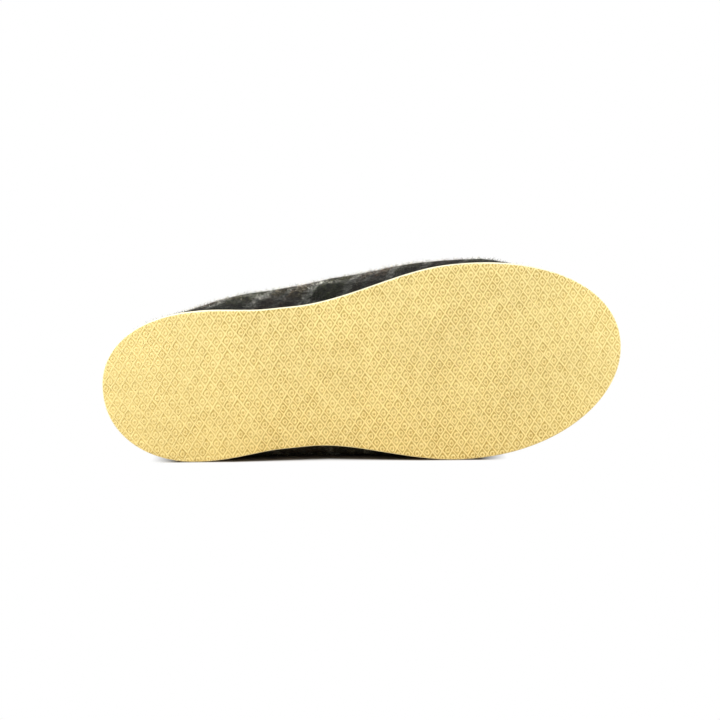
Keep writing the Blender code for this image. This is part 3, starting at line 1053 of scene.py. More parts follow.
@dataclass(frozen=True)
class FeltFinish:
    """Plain felt in one natural colour."""

    name: str
    colour: Colour
    contrast: float = 0.35
    roughness: float = 0.96
    specular: float = 0.15
    sheen: float = 0.20
    sheen_roughness: float = 0.5
    felt_depth: float = 0.0005

    def build(self, effects: SharedEffects) -> Material:
        """Make the material."""
        graph, surface = start_material(self.name)
        felting = add_effect(graph, effects.felting, self.contrast)
        inputs = {
            "Base Color": graph.shaded(self.colour, felting["Shade"]),
            "Roughness": self.roughness,
            "Specular IOR Level": self.specular,
            "Sheen Weight": self.sheen,
            "Sheen Roughness": self.sheen_roughness,
            "Normal": graph.bump(felting["Height"], self.felt_depth),
        }
        graph.fill(surface, inputs)
        return bpy.data.materials[self.name]


@dataclass
class Outsole:
    """Die-cut sole of micro rubber with moulded diamonds, each with an eye in its middle."""

    last: Last
    lie: Lie
    diamond_length: float = 0.00497
    diamond_width: float = 0.00722
    lattice_start: float = 0.0011
    spare_diamonds: int = 3
    merge_distance: float = 0.0001
    flex_start: float = 0.270
    flex_middle: float = 0.325
    flex_end: float = 0.600
    flex_depth: float = 0.0016
    edge_inset: float = 0.0003
    edge_round: float = 0.0005
    rim_round: float = 0.0003
    sharp_angle: float = math.radians(60.0)
    columns: int = 170
    strips: int = 8
    outline_columns: int = 900
    corners_per_ring: int = 8
    kinds: int = 12
    roundest: float = 0.75  # how far from diamond to ellipse a roundness of 1 goes
    eye_shift: float = 0.0003  # the eyes' mean place, towards the outer side
    eye_squash: float = 0.16  # part of its width that a round ring loses
    eye_drift: float = 0.00026
    eye_unevenness: float = 0.18
    depth_unevenness: float = 0.00008
    least_relief: float = 0.82
    most_relief: float = 1.02
    heel_wear: float = 0.50
    heel_wear_end: float = 0.40
    toe_wear: float = 0.26
    toe_wear_start: float = 0.72
    worn_tone: float = 0.5  # how much of the hollows' colour full wear gives the whole tread
    seed: int = 7

    def diamonds(self) -> Collection:
        """Diamonds of the tread, a little uneven, each with a pit in a raised eye, a groove and ribs."""
        half = np.array((0.5 * self.diamond_length, 0.5 * self.diamond_width))
        angle = 2.0 * math.pi * np.arange(self.corners_per_ring) / self.corners_per_ring
        circle = np.stack((np.cos(angle), np.sin(angle)), axis=-1)
        rhombus = circle / np.abs(circle).sum(axis=-1, keepdims=True)
        count = self.corners_per_ring
        faces = [(0, 1 + (k + 1) % count, 1 + k) for k in range(count)]
        faces += [tuple(1 + face[::-1]) for face in ring_faces(len(TREAD), count)]
        chance = np.random.default_rng(self.seed)
        kinds = bpy.data.collections.new("tread_diamonds")
        for number in range(self.kinds):
            drift = chance.normal((0.0, self.eye_shift), self.eye_drift)
            points = [(*drift, TREAD[0].depth)]
            for ring in TREAD:
                inner = 1.0 - ring.reach**2
                shape = rhombus + ring.roundness * self.roundest * (circle - rhombus)
                uneven = 1.0 + inner * chance.normal(0.0, self.eye_unevenness, (count, 1))
                squash = np.array((1.0, 1.0 - self.eye_squash * ring.roundness))
                plan = ring.reach * uneven * shape * half * squash + inner * drift
                depth = ring.side_depth + (ring.depth - ring.side_depth) * np.cos(2.0 * angle) ** 2
                depth = depth + inner * np.abs(chance.normal(0.0, self.depth_unevenness, count))
                points += np.column_stack((plan, depth)).tolist()
            name = f"tread_diamond_{number}"
            kinds.objects.link(new_object(name, mesh_from(name, points, faces)))
        return kinds

    @staticmethod
    def tread_tree() -> NodeTree:
        """Geometry tree that lays diamonds on two grids, one set between the other."""
        names = ("Length", "Width")
        sockets = SHAPE_IN | {"Diamonds": Kind.COLLECTION}
        sockets |= dict.fromkeys((*names, "Least Relief", "Most Relief", "Merge Distance"), Kind.NUMBER)
        sockets |= dict.fromkeys(("Count Length", "Count Width", "Last Kind", "Seed"), Kind.COUNT)
        graph, entry = make_tree("tread_diamonds", sockets, SHAPE_OUT)
        joined = graph.add("GeometryNodeJoinGeometry")
        step = graph.join(entry["Length"], entry["Width"], 0.0)
        for shift in (0.0, 0.5):
            inputs = {}
            for number, name in enumerate(names):
                gaps = graph.math("SUBTRACT", entry["Count " + name], 1.0)
                inputs[number] = graph.math("MULTIPLY", gaps, entry[name])
                inputs[2 + number] = entry["Count " + name]
            grid = graph.add("GeometryNodeMeshGrid", inputs)
            offset = graph.scaled(step, shift)
            moved = graph.add("GeometryNodeSetPosition", {"Geometry": grid.outputs[0], "Offset": offset})
            graph.tree.links.new(moved.outputs[0], joined.inputs[0])
        stamps = graph.add(
            "GeometryNodeCollectionInfo", {"Collection": entry["Diamonds"], "Separate Children": True}
        )
        kind_seed = graph.math("ADD", entry["Seed"], 1.0)
        depth = graph.random("FLOAT", entry["Least Relief"], entry["Most Relief"], entry["Seed"])
        copies = {
            "Points": joined.outputs[0],
            "Instance": stamps.outputs[0],
            "Pick Instance": True,
            "Instance Index": graph.random("INT", 0, entry["Last Kind"], kind_seed),
            "Scale": graph.join(1.0, 1.0, depth),
        }
        merged = graph.add(
            "GeometryNodeMergeByDistance",
            {"Geometry": graph.repeat(copies), "Distance": entry["Merge Distance"]},
        )
        graph.dress(merged.outputs[0], entry["Material"])
        return graph.tree

    def sheet(self, material: Material) -> tuple[Array, list[list[int]]]:
        """Make a sheet of tread larger than the sole.

        Args:
            material: the tread's finish.

        Returns:
            Its points, with depths as heights, and its faces.
        """
        kinds = self.diamonds()
        values = {
            "Diamonds": kinds,
            "Length": self.diamond_length,
            "Width": self.diamond_width,
            "Count Length": int(self.last.length / self.diamond_length) + self.spare_diamonds,
            "Count Width": int(self.last.ball_width / self.diamond_width) + self.spare_diamonds,
            "Least Relief": self.least_relief,
            "Most Relief": self.most_relief,
            "Merge Distance": self.merge_distance,
            "Last Kind": self.kinds - 1,
            "Seed": self.seed,
            "Material": material,
        }
        mesh = run_nodes(self.tread_tree(), bpy.data.meshes.new("tread_start"), values)
        for stamp in list(kinds.objects):
            bpy.data.objects.remove(stamp)
        bpy.data.collections.remove(kinds)
        points = np.empty(3 * len(mesh.vertices))
        mesh.vertices.foreach_get("co", points)
        faces = [list(face.vertices) for face in mesh.polygons]
        bpy.data.meshes.remove(mesh)
        points = points.reshape(-1, 3)
        points[:, 0] += 0.5 * self.last.length + self.lattice_start
        points[:, 2] *= self.wear(points[:, 0])
        return points, faces

    def wear(self, x: Array) -> Array:
        """Share of the relief that is left: less of it at the heel and the toe."""
        station = x / self.last.length
        heel = self.heel_wear * ease(ramp(station, self.heel_wear_end, 0.0))
        return 1.0 - heel - self.toe_wear * ease(ramp(station, self.toe_wear_start, 1.0))

    def edge_places(self, plan: Array) -> tuple[Array, Array]:
        """Measure where plan points lie against the sole's outline.

        Args:
            plan: the points.

        Returns:
            Their distances inside the outline, and the nearest places round it from 0 to 1.
        """
        ring = self.last.sole_ring(self.outline_columns)
        outward = ring_normals(ring)
        tree = KDTree(len(ring))
        for number, (x, y) in enumerate(ring):
            tree.insert((x, y, 0.0), number)
        tree.balance()
        nearest = np.array([tree.find((x, y, 0.0))[1] for x, y in plan])
        step = np.linalg.norm(np.roll(ring, -1, axis=0) - ring, axis=-1)
        run = np.concatenate(([0.0], np.cumsum(step)))
        offset = plan - ring[nearest]
        along = np.stack((outward[nearest, 1], -outward[nearest, 0]), axis=-1)
        place = (run[nearest] + (offset * along).sum(axis=-1)) / run[-1]
        return -(offset * outward[nearest]).sum(axis=-1), place % 1.0

    @staticmethod
    def clip(
        points: Array, faces: Sequence[list[int]], inside: Array
    ) -> tuple[Array, list[list[int]]]:
        """Cut faces along the line where a distance is zero.

        Args:
            points: the corners.
            faces: corner numbers of each face.
            inside: distance of each corner inside the line.

        Returns:
            The corners that are left and the faces between them.
        """
        corners = list(points)
        cuts: dict[tuple[int, int], int] = {}
        kept = []
        for face in faces:
            loop = []
            for a, b in zip(face, face[1:] + face[:1]):
                if inside[a] > 0.0:
                    loop.append(a)
                if (inside[a] > 0.0) != (inside[b] > 0.0):
                    key = (min(a, b), max(a, b))
                    if key not in cuts:
                        share = inside[a] / (inside[a] - inside[b])
                        cuts[key] = len(corners)
                        corners.append(points[a] + share * (points[b] - points[a]))
                    loop.append(cuts[key])
            if len(loop) > 2:
                kept.append(loop)
        used = sorted({corner for face in kept for corner in face})
        renumbered = {old: new for new, old in enumerate(used)}
        return np.array(corners)[used], [[renumbered[corner] for corner in face] for face in kept]

    @staticmethod
    def rim_of(faces: Sequence[list[int]]) -> list[int]:
        """Corner numbers along the open edge of faces, in order."""
        sides = {(a, b) for face in faces for a, b in zip(face, face[1:] + face[:1])}
        following = {a: b for a, b in sides if (b, a) not in sides}
        rim = [min(following)]
        while following[rim[-1]] != rim[0]:
            rim.append(following[rim[-1]])
        return rim

    def in_order(self, numbers: Sequence[int], plan: Array) -> Loop:
        """Order a closed loop of corners by their places round the outline.

        Args:
            numbers: the corners' numbers along the loop.
            plan: their plan points.

        Returns:
            The numbers and places, with the first corner again at the end.
        """
        _, places = self.edge_places(plan)
        numbers = np.array(numbers)
        if np.median(np.diff(places)) < 0.0:
            numbers = numbers[::-1]
            places = places[::-1]
        start = int(np.argmin(places))
        numbers = np.roll(numbers, -start)
        places = np.roll(places, -start)
        return np.append(numbers, numbers[0]), np.append(places, places[0] + 1.0)

    @staticmethod
    def zip_loops(first: Loop, second: Loop) -> list[list[int]]:
        """Triangles between two closed loops of corners in order."""
        (a, a_at), (b, b_at) = first, second
        i = 0
        j = 0
        faces = []
        while i < len(a) - 1 or j < len(b) - 1:
            if j == len(b) - 1 or (i < len(a) - 1 and a_at[i + 1] <= b_at[j + 1]):
                faces.append([int(a[i]), int(a[i + 1]), int(b[j])])
                i += 1
            else:
                faces.append([int(a[i]), int(b[j + 1]), int(b[j])])
                j += 1
        return faces

    def flexed(self, x: Array) -> Array:
        """Height of the tread with the soft bend where the sole leaves the heel."""
        station = x / self.last.length
        rise = ease(ramp(station, self.flex_start, self.flex_middle))
        bend = rise * ease(ramp(station, self.flex_end, self.flex_middle))
        return self.last.tread_height(x) + self.flex_depth * bend

    def build(self, effects: SharedEffects) -> Object:
        """Make the sole: the cut sheet of tread, its upright edge and its upper face.

        Args:
            effects: the shared shader groups.

        Returns:
            The piece.
        """
        finishes = [TREAD_RUBBER.build(effects), EDGE_RUBBER.build(effects)]
        points, faces = self.sheet(finishes[0])
        inside, _ = self.edge_places(points[:, :2])
        points, faces = self.clip(points, faces, inside - self.edge_inset)
        depth = points[:, 2].copy()
        points[:, 2] += self.flexed(points[:, 0])
        rim = self.rim_of(faces)
        ring = self.last.sole_ring(self.columns)
        rim_ring = ring - self.rim_round * ring_normals(ring)
        across = plate_points(rim_ring, self.strips)
        levels = (
            (ring, self.flexed(ring[:, 0]) + self.edge_round),
            (ring, self.last.sole_top(ring[:, 0]) - self.rim_round),
            (rim_ring, self.last.sole_top(rim_ring[:, 0])),
            (across, self.last.sole_top(across[:, 0])),
        )
        count = len(points)
        wall = count + np.arange(len(ring))
        loops = (self.in_order(rim, points[rim, :2]), self.in_order(wall, ring))
        edge_faces = self.zip_loops(*loops)
        edge_faces += (count + ring_faces(3, len(ring))).tolist()
        top = (wall + 2 * len(ring)).tolist()
        edge_faces += plate_faces(top, count + 3 * len(ring), self.strips)
        points = np.concatenate([points] + [np.column_stack(level) for level in levels])
        mesh = mesh_from("outsole_tread", self.lie.to_world(points), faces + edge_faces)
        set_materials(mesh, finishes, (len(faces), len(edge_faces)))
        close_faces(mesh, self.sharp_angle)
        # painted shade: each point's depth share darkens the tread's colour in its hollows, with a worn tone
        # added at heel and toe
        share = np.zeros(len(points))
        share[:count] = depth / max(ring.depth for ring in TREAD)
        share[:count] += self.worn_tone * (1.0 - self.wear(points[:count, 0]))
        set_attribute(mesh, "relief", share)
        return add_piece("outsole_tread", mesh, "outsole")


def close_faces(mesh: Mesh, sharp_angle: float) -> None:
    """Turn all faces of a closed mesh outwards and shade it smooth up to an angle."""
    shape = bmesh.new()
    shape.from_mesh(mesh)
    bmesh.ops.recalc_face_normals(shape, faces=shape.faces)
    shape.to_mesh(mesh)
    shape.free()
    mesh.shade_smooth()
    mesh.set_sharp_from_angle(angle=sharp_angle)


@dataclass
class Upper:
    """Lasted upper of tartan wool with a felt lining, a turned hem and a seam at the back."""

    last: Last
    lie: Lie
    wall: float = 0.0030
    hem_width: float = 0.0085
    hem_step: float = 0.0008
    hem_ramp: float = 0.0016
    lip_round: float = 0.0011
    columns: int = 150
    rows: int = 72
    lip_rows: int = 5
    lip_step: float = 0.5  # way on the flat cloth for each row of the lip, as a share of a row's
    inside_step: int = 2
    flat_column_step: int = 3
    flat_row_step: int = 4
    flat_rounds: int = 40
    pucker_pitch: float = 0.0052
    pucker_depth: float = 0.0004
    pucker_height: float = 0.0110
    toe_pleats: tuple[float, float] = (0.80, 0.95)  # where pleats set in and are full, round from the heel
    heel_pleats: tuple[float, float] = (0.12, 0.03)
    heel_pleat_share: float = 0.7
    pleat_wavers: tuple = ((0.9, 0.0110, 0.0), (0.6, 0.0047, 1.0))  # swing, way for each radian, start
    seam_depth: float = 0.0008
    seam_width: float = 0.0013
    seam_ridge: float = 0.4  # height of the ridges beside the seam, as a share of its depth
    seam_ridge_reach: float = 3.0  # in widths of the seam
    slack: float = 0.0004
    slack_height: float = 0.03
    drag_height: float = 0.022
    cloth_shift: tuple[float, float] = (0.00375, 0.0282)
    floor_clearance: float = 0.00005
    crease_samples: int = 24
    crease_overlap: int = 3  # points by which a crease runs on past the vamp's middle
    crease_fade: float = 0.3  # share of a crease's length over which either end fades
    stitch_pitch: float = 0.0033
    stitch_length: float = 0.0024
    stitch_radius: float = 0.00026
    stitch_above_hem: float = 0.0016
    stitch_rings: int = 7
    stitch_corners: int = 6
    stitch_end: float = 0.04  # square of the share of its radius that a stitch keeps at its ends
    stitch_lift: float = 0.7  # height of its middle, in radii
    stitch_dip: float = 1.1  # how far its ends are below that, in radii
    fibre_length: float = 0.0016
    fibre_width: float = 0.000075
    fibres_per_area: float = 1.55e6
    fibre_lean: float = 0.9
    fibre_sizes: tuple[float, float] = (0.35, 1.75)
    fibre_tones: tuple[float, float] = (0.35, 2.2)
    # painted shade and light: fibres low on the cloth are darkened, fibres high on it lightened
    pressed_shaded_tone: float = 0.5
    raised_lit_tone: float = 2.2
    bare_foot: float = 0.0025
    bare_fade: float = 0.003
    pressed_nap: float = 0.45
    pressed_height: float = 0.006
    raised_height: float = 0.020
    tucked_nap: float = 0.4
    seed: int = 11

    def turn(self) -> Array:
        """How far round from the heel seam to the vamp's middle each column of a ring is."""
        half = even_turn(self.columns)
        return np.concatenate((half, half[-2:0:-1]))

    @staticmethod
    def normals(skin: Array) -> Array:
        """Outward directions of the skin's points."""
        along = np.roll(skin, -1, axis=1) - np.roll(skin, 1, axis=1)
        return unit(np.cross(np.gradient(skin, axis=0), along))

    @staticmethod
    def climb(skin: Array) -> Array:
        """Way up each column from the sole, along the cloth."""
        step = np.linalg.norm(np.diff(skin, axis=0), axis=-1)
        return np.concatenate((np.zeros((1, skin.shape[1])), np.cumsum(step, axis=0)))

    def half_skin(self, skin: Array, side: Side) -> Array:
        """Columns of one side of the skin, from the heel seam to the vamp's middle."""
        if side is Side.OUTER:
            return skin[:, : self.columns + 1]
        return np.concatenate((skin[:, :1], skin[:, : self.columns - 1 : -1]), axis=1)

    def crease_line(self, skin: Array, crease: Crease, side: Side) -> Array:
        """Points on the skin along a crease."""
        half = self.half_skin(skin, side)
        places = np.array(crease.path)
        share = np.linspace(0.0, len(places) - 1.0, self.crease_samples)
        turn, rise = (np.interp(share, np.arange(len(places)), places[:, k]) for k in (0, 1))
        column = np.arccos(1.0 - 2.0 * turn) / math.pi * self.columns
        row = rise * self.rows
        i = np.clip(row.astype(int), 0, self.rows - 1)
        j = np.clip(column.astype(int), 0, self.columns - 1)
        v = (row - i)[:, None]
        u = (column - j)[:, None]
        low = half[i, j] * (1.0 - u) + half[i, j + 1] * u
        high = half[i + 1, j] * (1.0 - u) + half[i + 1, j + 1] * u
        return low * (1.0 - v) + high * v

    def trough(self, points: Array, line: Array, width: float) -> Array:
        """Shape of a trough along a line, with ridges beside it: 1 in its middle, less than 0 on a ridge."""
        nearest = np.full(points.shape[:-1], np.inf)
        along = np.zeros(points.shape[:-1])
        run = 0.0
        for start, end in zip(line, line[1:]):
            way = end - start
            length = float(np.linalg.norm(way))
            share = np.clip((points - start) @ way / length**2, 0.0, 1.0)
            distance = np.linalg.norm(points - start - share[..., None] * way, axis=-1)
            closer = distance < nearest
            nearest = np.where(closer, distance, nearest)
            along = np.where(closer, run + share * length, along)
            run += length
        spread = (nearest / width) ** 2
        fade_way = self.crease_fade * run
        fade = ease(along / fade_way) * ease((run - along) / fade_way)
        return fade * (1.0 - spread) * np.exp(-spread)

    def creases(self, skin: Array) -> Array:
        """How far the creases draw in each point of the skin."""
        drawn_in = np.zeros(skin.shape[:-1])
        for crease in CREASES:
            sides = (Side.INNER, Side.OUTER) if crease.side is Side.BOTH else (crease.side,)
            for side in sides:
                line = self.crease_line(skin, crease, side)
                if crease.path[-1][0] == 1.0:
                    mirrored = line[-2 : -2 - self.crease_overlap : -1] * (1.0, -1.0, 1.0)
                    line = np.concatenate((line, mirrored))
                drawn_in += crease.depth * self.trough(skin, line, crease.width)
        return drawn_in

    def lasting(self, skin: Array) -> Array:
        """How far the small pleats of lasting draw in the cloth above the sole at toe and heel."""
        turn = self.turn()
        foot = np.linalg.norm(np.roll(skin[0], -1, axis=0) - skin[0], axis=-1)
        run = np.concatenate(([0.0], np.cumsum(foot)[:-1]))
        waver = sum(swing * np.sin(run / way + start) for swing, way, start in self.pleat_wavers)
        pleat = (0.5 + 0.5 * np.cos(2.0 * math.pi * run / self.pucker_pitch + waver)) ** 2
        heel = self.heel_pleat_share * ease(ramp(turn, *self.heel_pleats))
        ends = ease(ramp(turn, *self.toe_pleats)) + heel
        fade = ease(1.0 - self.climb(skin) / self.pucker_height)
        return self.pucker_depth * pleat * ends * fade

    def slackness(self, skin: Array) -> Array:
        """Gentle unevenness of soft cloth, growing from the sole to the collar."""
        z = skin[..., 2]
        wave = sum(np.sin(skin[..., row.axis] / row.length + row.lean * z + row.start) for row in SLACK)
        return self.slack * wave * ease(self.climb(skin) / self.slack_height)

    def back_seam(self, skin: Array) -> Array:
        """How far the seam at the back draws in the cloth."""
        way = np.linalg.norm(skin - skin[:, :1], axis=-1)
        spread = (way / self.seam_width) ** 2
        groove = (1.0 + self.seam_ridge) * np.exp(-spread)
        return self.seam_depth * (groove - self.seam_ridge * np.exp(-spread / self.seam_ridge_reach**2))

    def hem(self, skin: Array) -> Array:
        """How far the turned hem stands out at each point of the skin."""
        climb = self.climb(skin)
        below = climb[-1] - climb
        return self.hem_step * ease((self.hem_width + self.hem_ramp - below) / self.hem_ramp)

    def dressed_skin(self) -> tuple[Array, Array]:
        """Work out the outer skin with its creases.

        Returns:
            The skin and its outward directions.
        """
        skin = self.last.upper_skin(self.columns, self.rows)
        outward = self.normals(skin)
        drawn_in = self.creases(skin) + self.lasting(skin) + self.slackness(skin) + self.back_seam(skin)
        skin = self.above_floor(skin - drawn_in[..., None] * outward)
        return skin, self.normals(skin)

    def above_floor(self, skin: Array) -> Array:
        """Keep points of the skin from reaching through the floor."""
        slope, offset = self.last.floor_line()
        limit = offset + slope * skin[..., 0] - self.floor_clearance
        return np.stack((skin[..., 0], np.minimum(skin[..., 1], limit), skin[..., 2]), axis=-1)

    def foot_ring(self, skin: Array) -> Array:
        """Plan ring inside the wall where the upper stands on the sole."""
        return skin[0, :, :2] - self.wall * ring_normals(skin[0, :, :2])

    def rings(self, skin: Array, outward: Array) -> Array:
        """Closed rings of the whole upper: up the cloth, over the lip and down the lining."""
        inside = skin - self.wall * outward
        foot = self.foot_ring(skin)
        inside[0] = np.column_stack((foot, self.last.feather_height(foot[:, 0])))
        outside = self.above_floor(skin + self.hem(skin)[..., None] * outward)
        middle = 0.5 * (outside[-1] + inside[-1])
        reach = 0.5 * (outside[-1] - inside[-1])
        climb = unit(skin[-1] - skin[-2]) * self.lip_round
        angle = math.pi * np.arange(1, self.lip_rows + 1) / (self.lip_rows + 1)
        lip = [middle + math.cos(a) * reach + math.sin(a) * climb for a in angle]
        return np.concatenate((outside, self.above_floor(np.array(lip)), inside[:: -self.inside_step]))

    def flatten(self, skin: Array) -> Array:
        """Lay the cloth flat, cut open along the back seam.

        Args:
            skin: the skin's points.

        Returns:
            Places on the flat cloth, with the seam's column first and again last.
        """
        seam = np.concatenate((skin, skin[:, :1]), axis=1)
        coarse = seam[:: self.flat_row_step, :: self.flat_column_step]
        rows, columns = coarse.shape[:2]
        number = np.arange(rows * columns).reshape(rows, columns)
        corners = (number[:-1, :-1], number[1:, :-1], number[1:, 1:], number[:-1, 1:])
        faces = np.stack(corners, axis=-1).reshape(-1, 4)
        mesh = mesh_from("flat_cloth", coarse.reshape(-1, 3), faces.tolist())
        mesh.uv_layers.new(name="flat")
        holder = new_object("flat_cloth", mesh)
        bpy.context.view_layer.objects.active = holder
        holder.select_set(True)
        bpy.ops.object.mode_set(mode="EDIT")
        bpy.ops.mesh.select_all(action="SELECT")
        bpy.ops.uv.unwrap(method="MINIMUM_STRETCH", margin=0.0, iterations=self.flat_rounds)
        bpy.ops.object.mode_set(mode="OBJECT")
        loops = np.empty(2 * len(mesh.loops))
        mesh.uv_layers["flat"].data.foreach_get("uv", loops)
        flat = np.empty((rows * columns, 2))
        flat[faces.ravel()] = loops.reshape(-1, 2)
        flat = flat.reshape(rows, columns, 2)
        bpy.data.objects.remove(holder)
        return self.refine(self.square_up(flat, coarse))

    def square_up(self, flat: Array, coarse: Array) -> Array:
        """Bring the flat cloth to real size, with the vamp's middle along its first axis."""
        sizes = [np.linalg.norm(np.diff(grid, axis=1), axis=-1).sum() for grid in (coarse, flat)]
        flat = flat * (sizes[0] / sizes[1])
        middle = flat[:, flat.shape[1] // 2]
        way = unit(middle[0] - middle[-1])
        along = math.atan2(way[1], way[0])
        spin = np.array(((math.cos(along), -math.sin(along)), (math.sin(along), math.cos(along))))
        return (flat - middle[-1]) @ spin + self.cloth_shift

    def refine(self, flat: Array) -> Array:
        """Bring the flat cloth's coarse grid to the skin's own rows and columns."""
        for axis, count in ((0, self.rows + 1), (1, 2 * self.columns + 1)):
            old = np.linspace(0.0, 1.0, flat.shape[axis])
            new = np.linspace(0.0, 1.0, count)
            flat = np.apply_along_axis(lambda line: np.interp(new, old, line), axis, flat)
        return flat

    def drag(self, flat: Array, skin: Array) -> Array:
        """Lean the grain near the sole as lasting does.

        Args:
            flat: places on the flat cloth, with the seam's column first and again last.
            skin: the skin's points.

        Returns:
            The changed places on the flat cloth.
        """
        lean = smooth_through([row.turn for row in DRAGS], [row.lean for row in DRAGS])(self.turn())
        way = lean * self.drag_height * (1.0 - np.exp(-self.climb(skin) / self.drag_height))
        way = np.concatenate((way, way[:, :1]), axis=1)
        to_toe = np.where(np.arange(flat.shape[1]) <= self.columns, 1.0, -1.0)
        tangent = unit(np.gradient(flat, axis=1)) * to_toe[:, None]
        return flat - way[..., None] * tangent

    def nap_density(self, skin: Array) -> Array:
        """How much nap each point of the skin has: less near the sole, and least where it is tucked in."""
        climb = self.climb(skin)
        raised = ease(ramp(climb, self.pressed_height, self.raised_height))
        brushed = self.pressed_nap + (1.0 - self.pressed_nap) * raised
        tucked = self.last.tuck(skin[..., 0] / self.last.length) / self.last.heel_tuck
        brushed = brushed * (1.0 - (1.0 - self.tucked_nap) * tucked * (1.0 - raised))
        return brushed * ease((climb - self.bare_foot) / self.bare_fade)

    def shell(self, skin: Array, outward: Array, finishes: Sequence) -> Mesh:
        """Make the upper's closed mesh.

        Args:
            skin: points of the outer skin.
            outward: its outward directions.
            finishes: materials of cloth and lining.

        Returns:
            The mesh, with the place on the flat cloth as its UV map and the nap's density as an attribute.
        """
        rings = self.rings(skin, outward)
        count, columns = rings.shape[:2]
        faces = ring_faces(count + 1, columns) % (count * columns)
        mesh = mesh_from("upper_shell", self.lie.to_world(rings.reshape(-1, 3)), faces.tolist())
        cloth_rows = self.rows + self.lip_rows
        set_materials(mesh, finishes, (cloth_rows * columns, (count - cloth_rows) * columns))
        flat = self.drag(self.flatten(skin), skin)
        lip = [flat[-1] + (k + 1) * self.lip_step * (flat[-1] - flat[-2]) for k in range(self.lip_rows)]
        places = np.concatenate((flat, np.array(lip), flat[:: -self.inside_step], flat[:1]))
        corners = (places[:-1, :-1], places[1:, :-1], places[1:, 1:], places[:-1, 1:])
        layer = mesh.uv_layers.new(name="cloth")
        layer.data.foreach_set("uv", np.stack(corners, axis=2).astype(np.float32).ravel())
        nap = np.zeros(rings.shape[:2])
        nap[: self.rows + 1] = self.nap_density(skin)
        nap[self.rows + 1 : self.rows + 1 + self.lip_rows] = 1.0
        set_attribute(mesh, "nap", nap)
        mesh.shade_smooth()
        return mesh

    def fibre(self) -> Object:
        """One bent wool fibre: a thin ribbon that ends in a point."""
        half = 0.5 * self.fibre_width
        size = self.fibre_length
        points = []
        tips = []
        for bend in FIBRE:
            sides = (-half, half) if bend.width else (0.0,)
            points += [(side * bend.width, bend.lean * size, bend.rise * size) for side in sides]
            tips += [bend.along] * len(sides)
        mesh = mesh_from("nap_fibre", points, [(0, 1, 3, 2), (2, 3, 4)])
        set_attribute(mesh, "tip", tips)
        return new_object("nap_fibre", mesh)

    @staticmethod
    def nap_tree() -> NodeTree:
        """Geometry tree that plants fibres on the cloth and lets each keep its root's place on it."""
        ranges = ("Least Size", "Most Size", "Least Tone", "Most Tone")
        tones = ("Pressed Nap", "Pressed Tone", "Raised Tone")
        sockets = SHAPE_IN | {"Fibre": Kind.OBJECT, "Seed": Kind.COUNT}
        sockets |= dict.fromkeys(("Density", "Lean", *ranges, *tones, "Floor"), Kind.NUMBER)
        graph, entry = make_tree("wool_nap", sockets, SHAPE_OUT)
        nap = graph.named("nap", "FLOAT")
        density = graph.math("MULTIPLY", nap, entry["Density"])
        planted = graph.add(
            "GeometryNodeDistributePointsOnFaces",
            {"Mesh": entry["Geometry"], "Density": density, "Seed": entry["Seed"]},
            distribute_method="RANDOM",
        )
        cloth = graph.named("cloth", "FLOAT_VECTOR")
        rooted = graph.store(planted.outputs["Points"], "root", cloth, "FLOAT_VECTOR")
        size_seed = graph.math("ADD", entry["Seed"], 1.0)
        size = graph.random("FLOAT", entry["Least Size"], entry["Most Size"], size_seed)
        tone_seed = graph.math("ADD", entry["Seed"], 2.0)
        tone = graph.random("FLOAT", entry["Least Tone"], entry["Most Tone"], tone_seed)
        # painted shade low on the cloth and painted light high on it, stored in each fibre's tone
        raised = graph.span(nap, entry["Pressed Nap"], 1.0, entry["Pressed Tone"], entry["Raised Tone"])
        toned = graph.store(rooted, "tone", graph.math("MULTIPLY", tone, raised), "FLOAT")
        back = graph.math("MULTIPLY", entry["Lean"], -1.0)
        least = graph.join(back, back, -math.pi)
        most = graph.join(entry["Lean"], entry["Lean"], math.pi)
        lean = graph.random("FLOAT_VECTOR", least, most, entry["Seed"])
        turned = graph.add("FunctionNodeEulerToRotation", {0: lean})
        tipped = graph.add(
            "FunctionNodeRotateRotation",
            {"Rotation": planted.outputs["Rotation"], "Rotate By": turned.outputs[0]},
            rotation_space="LOCAL",
        )
        stamp = graph.add("GeometryNodeObjectInfo", {"Object": entry["Fibre"]})
        copies = {
            "Points": toned,
            "Instance": stamp.outputs["Geometry"],
            "Rotation": tipped.outputs[0],
            "Scale": graph.math("MULTIPLY", size, nap),
        }
        position = graph.add("GeometryNodeInputPosition")
        place = graph.add("ShaderNodeSeparateXYZ", {0: position.outputs[0]}).outputs
        above = graph.join(place[0], place[1], graph.math("MAXIMUM", place[2], entry["Floor"]))
        laid = graph.add("GeometryNodeSetPosition", {"Geometry": graph.repeat(copies), "Position": above})
        graph.dress(laid.outputs[0], entry["Material"])
        return graph.tree

    def grow_nap(self, shell: Mesh, finish: Material) -> Object:
        """Plant the brushed nap on the cloth.

        Args:
            shell: the upper's mesh.
            finish: the fibres' material.

        Returns:
            The piece.
        """
        stamp = self.fibre()
        values = {
            "Fibre": stamp,
            "Density": self.fibres_per_area,
            "Lean": self.fibre_lean,
            "Least Size": self.fibre_sizes[0],
            "Most Size": self.fibre_sizes[1],
            "Least Tone": self.fibre_tones[0],
            "Most Tone": self.fibre_tones[1],
            "Pressed Nap": self.pressed_nap,
            "Pressed Tone": self.pressed_shaded_tone,
            "Raised Tone": self.raised_lit_tone,
            "Floor": self.floor_clearance,
            "Seed": self.seed,
            "Material": finish,
        }
        mesh = run_nodes(self.nap_tree(), shell, values)
        bpy.data.objects.remove(stamp)
        for name in ("cloth", "nap"):
            found = mesh.attributes.get(name)
            if found:
                mesh.attributes.remove(found)
        mesh.shade_smooth()
        return add_piece("upper_nap", mesh)

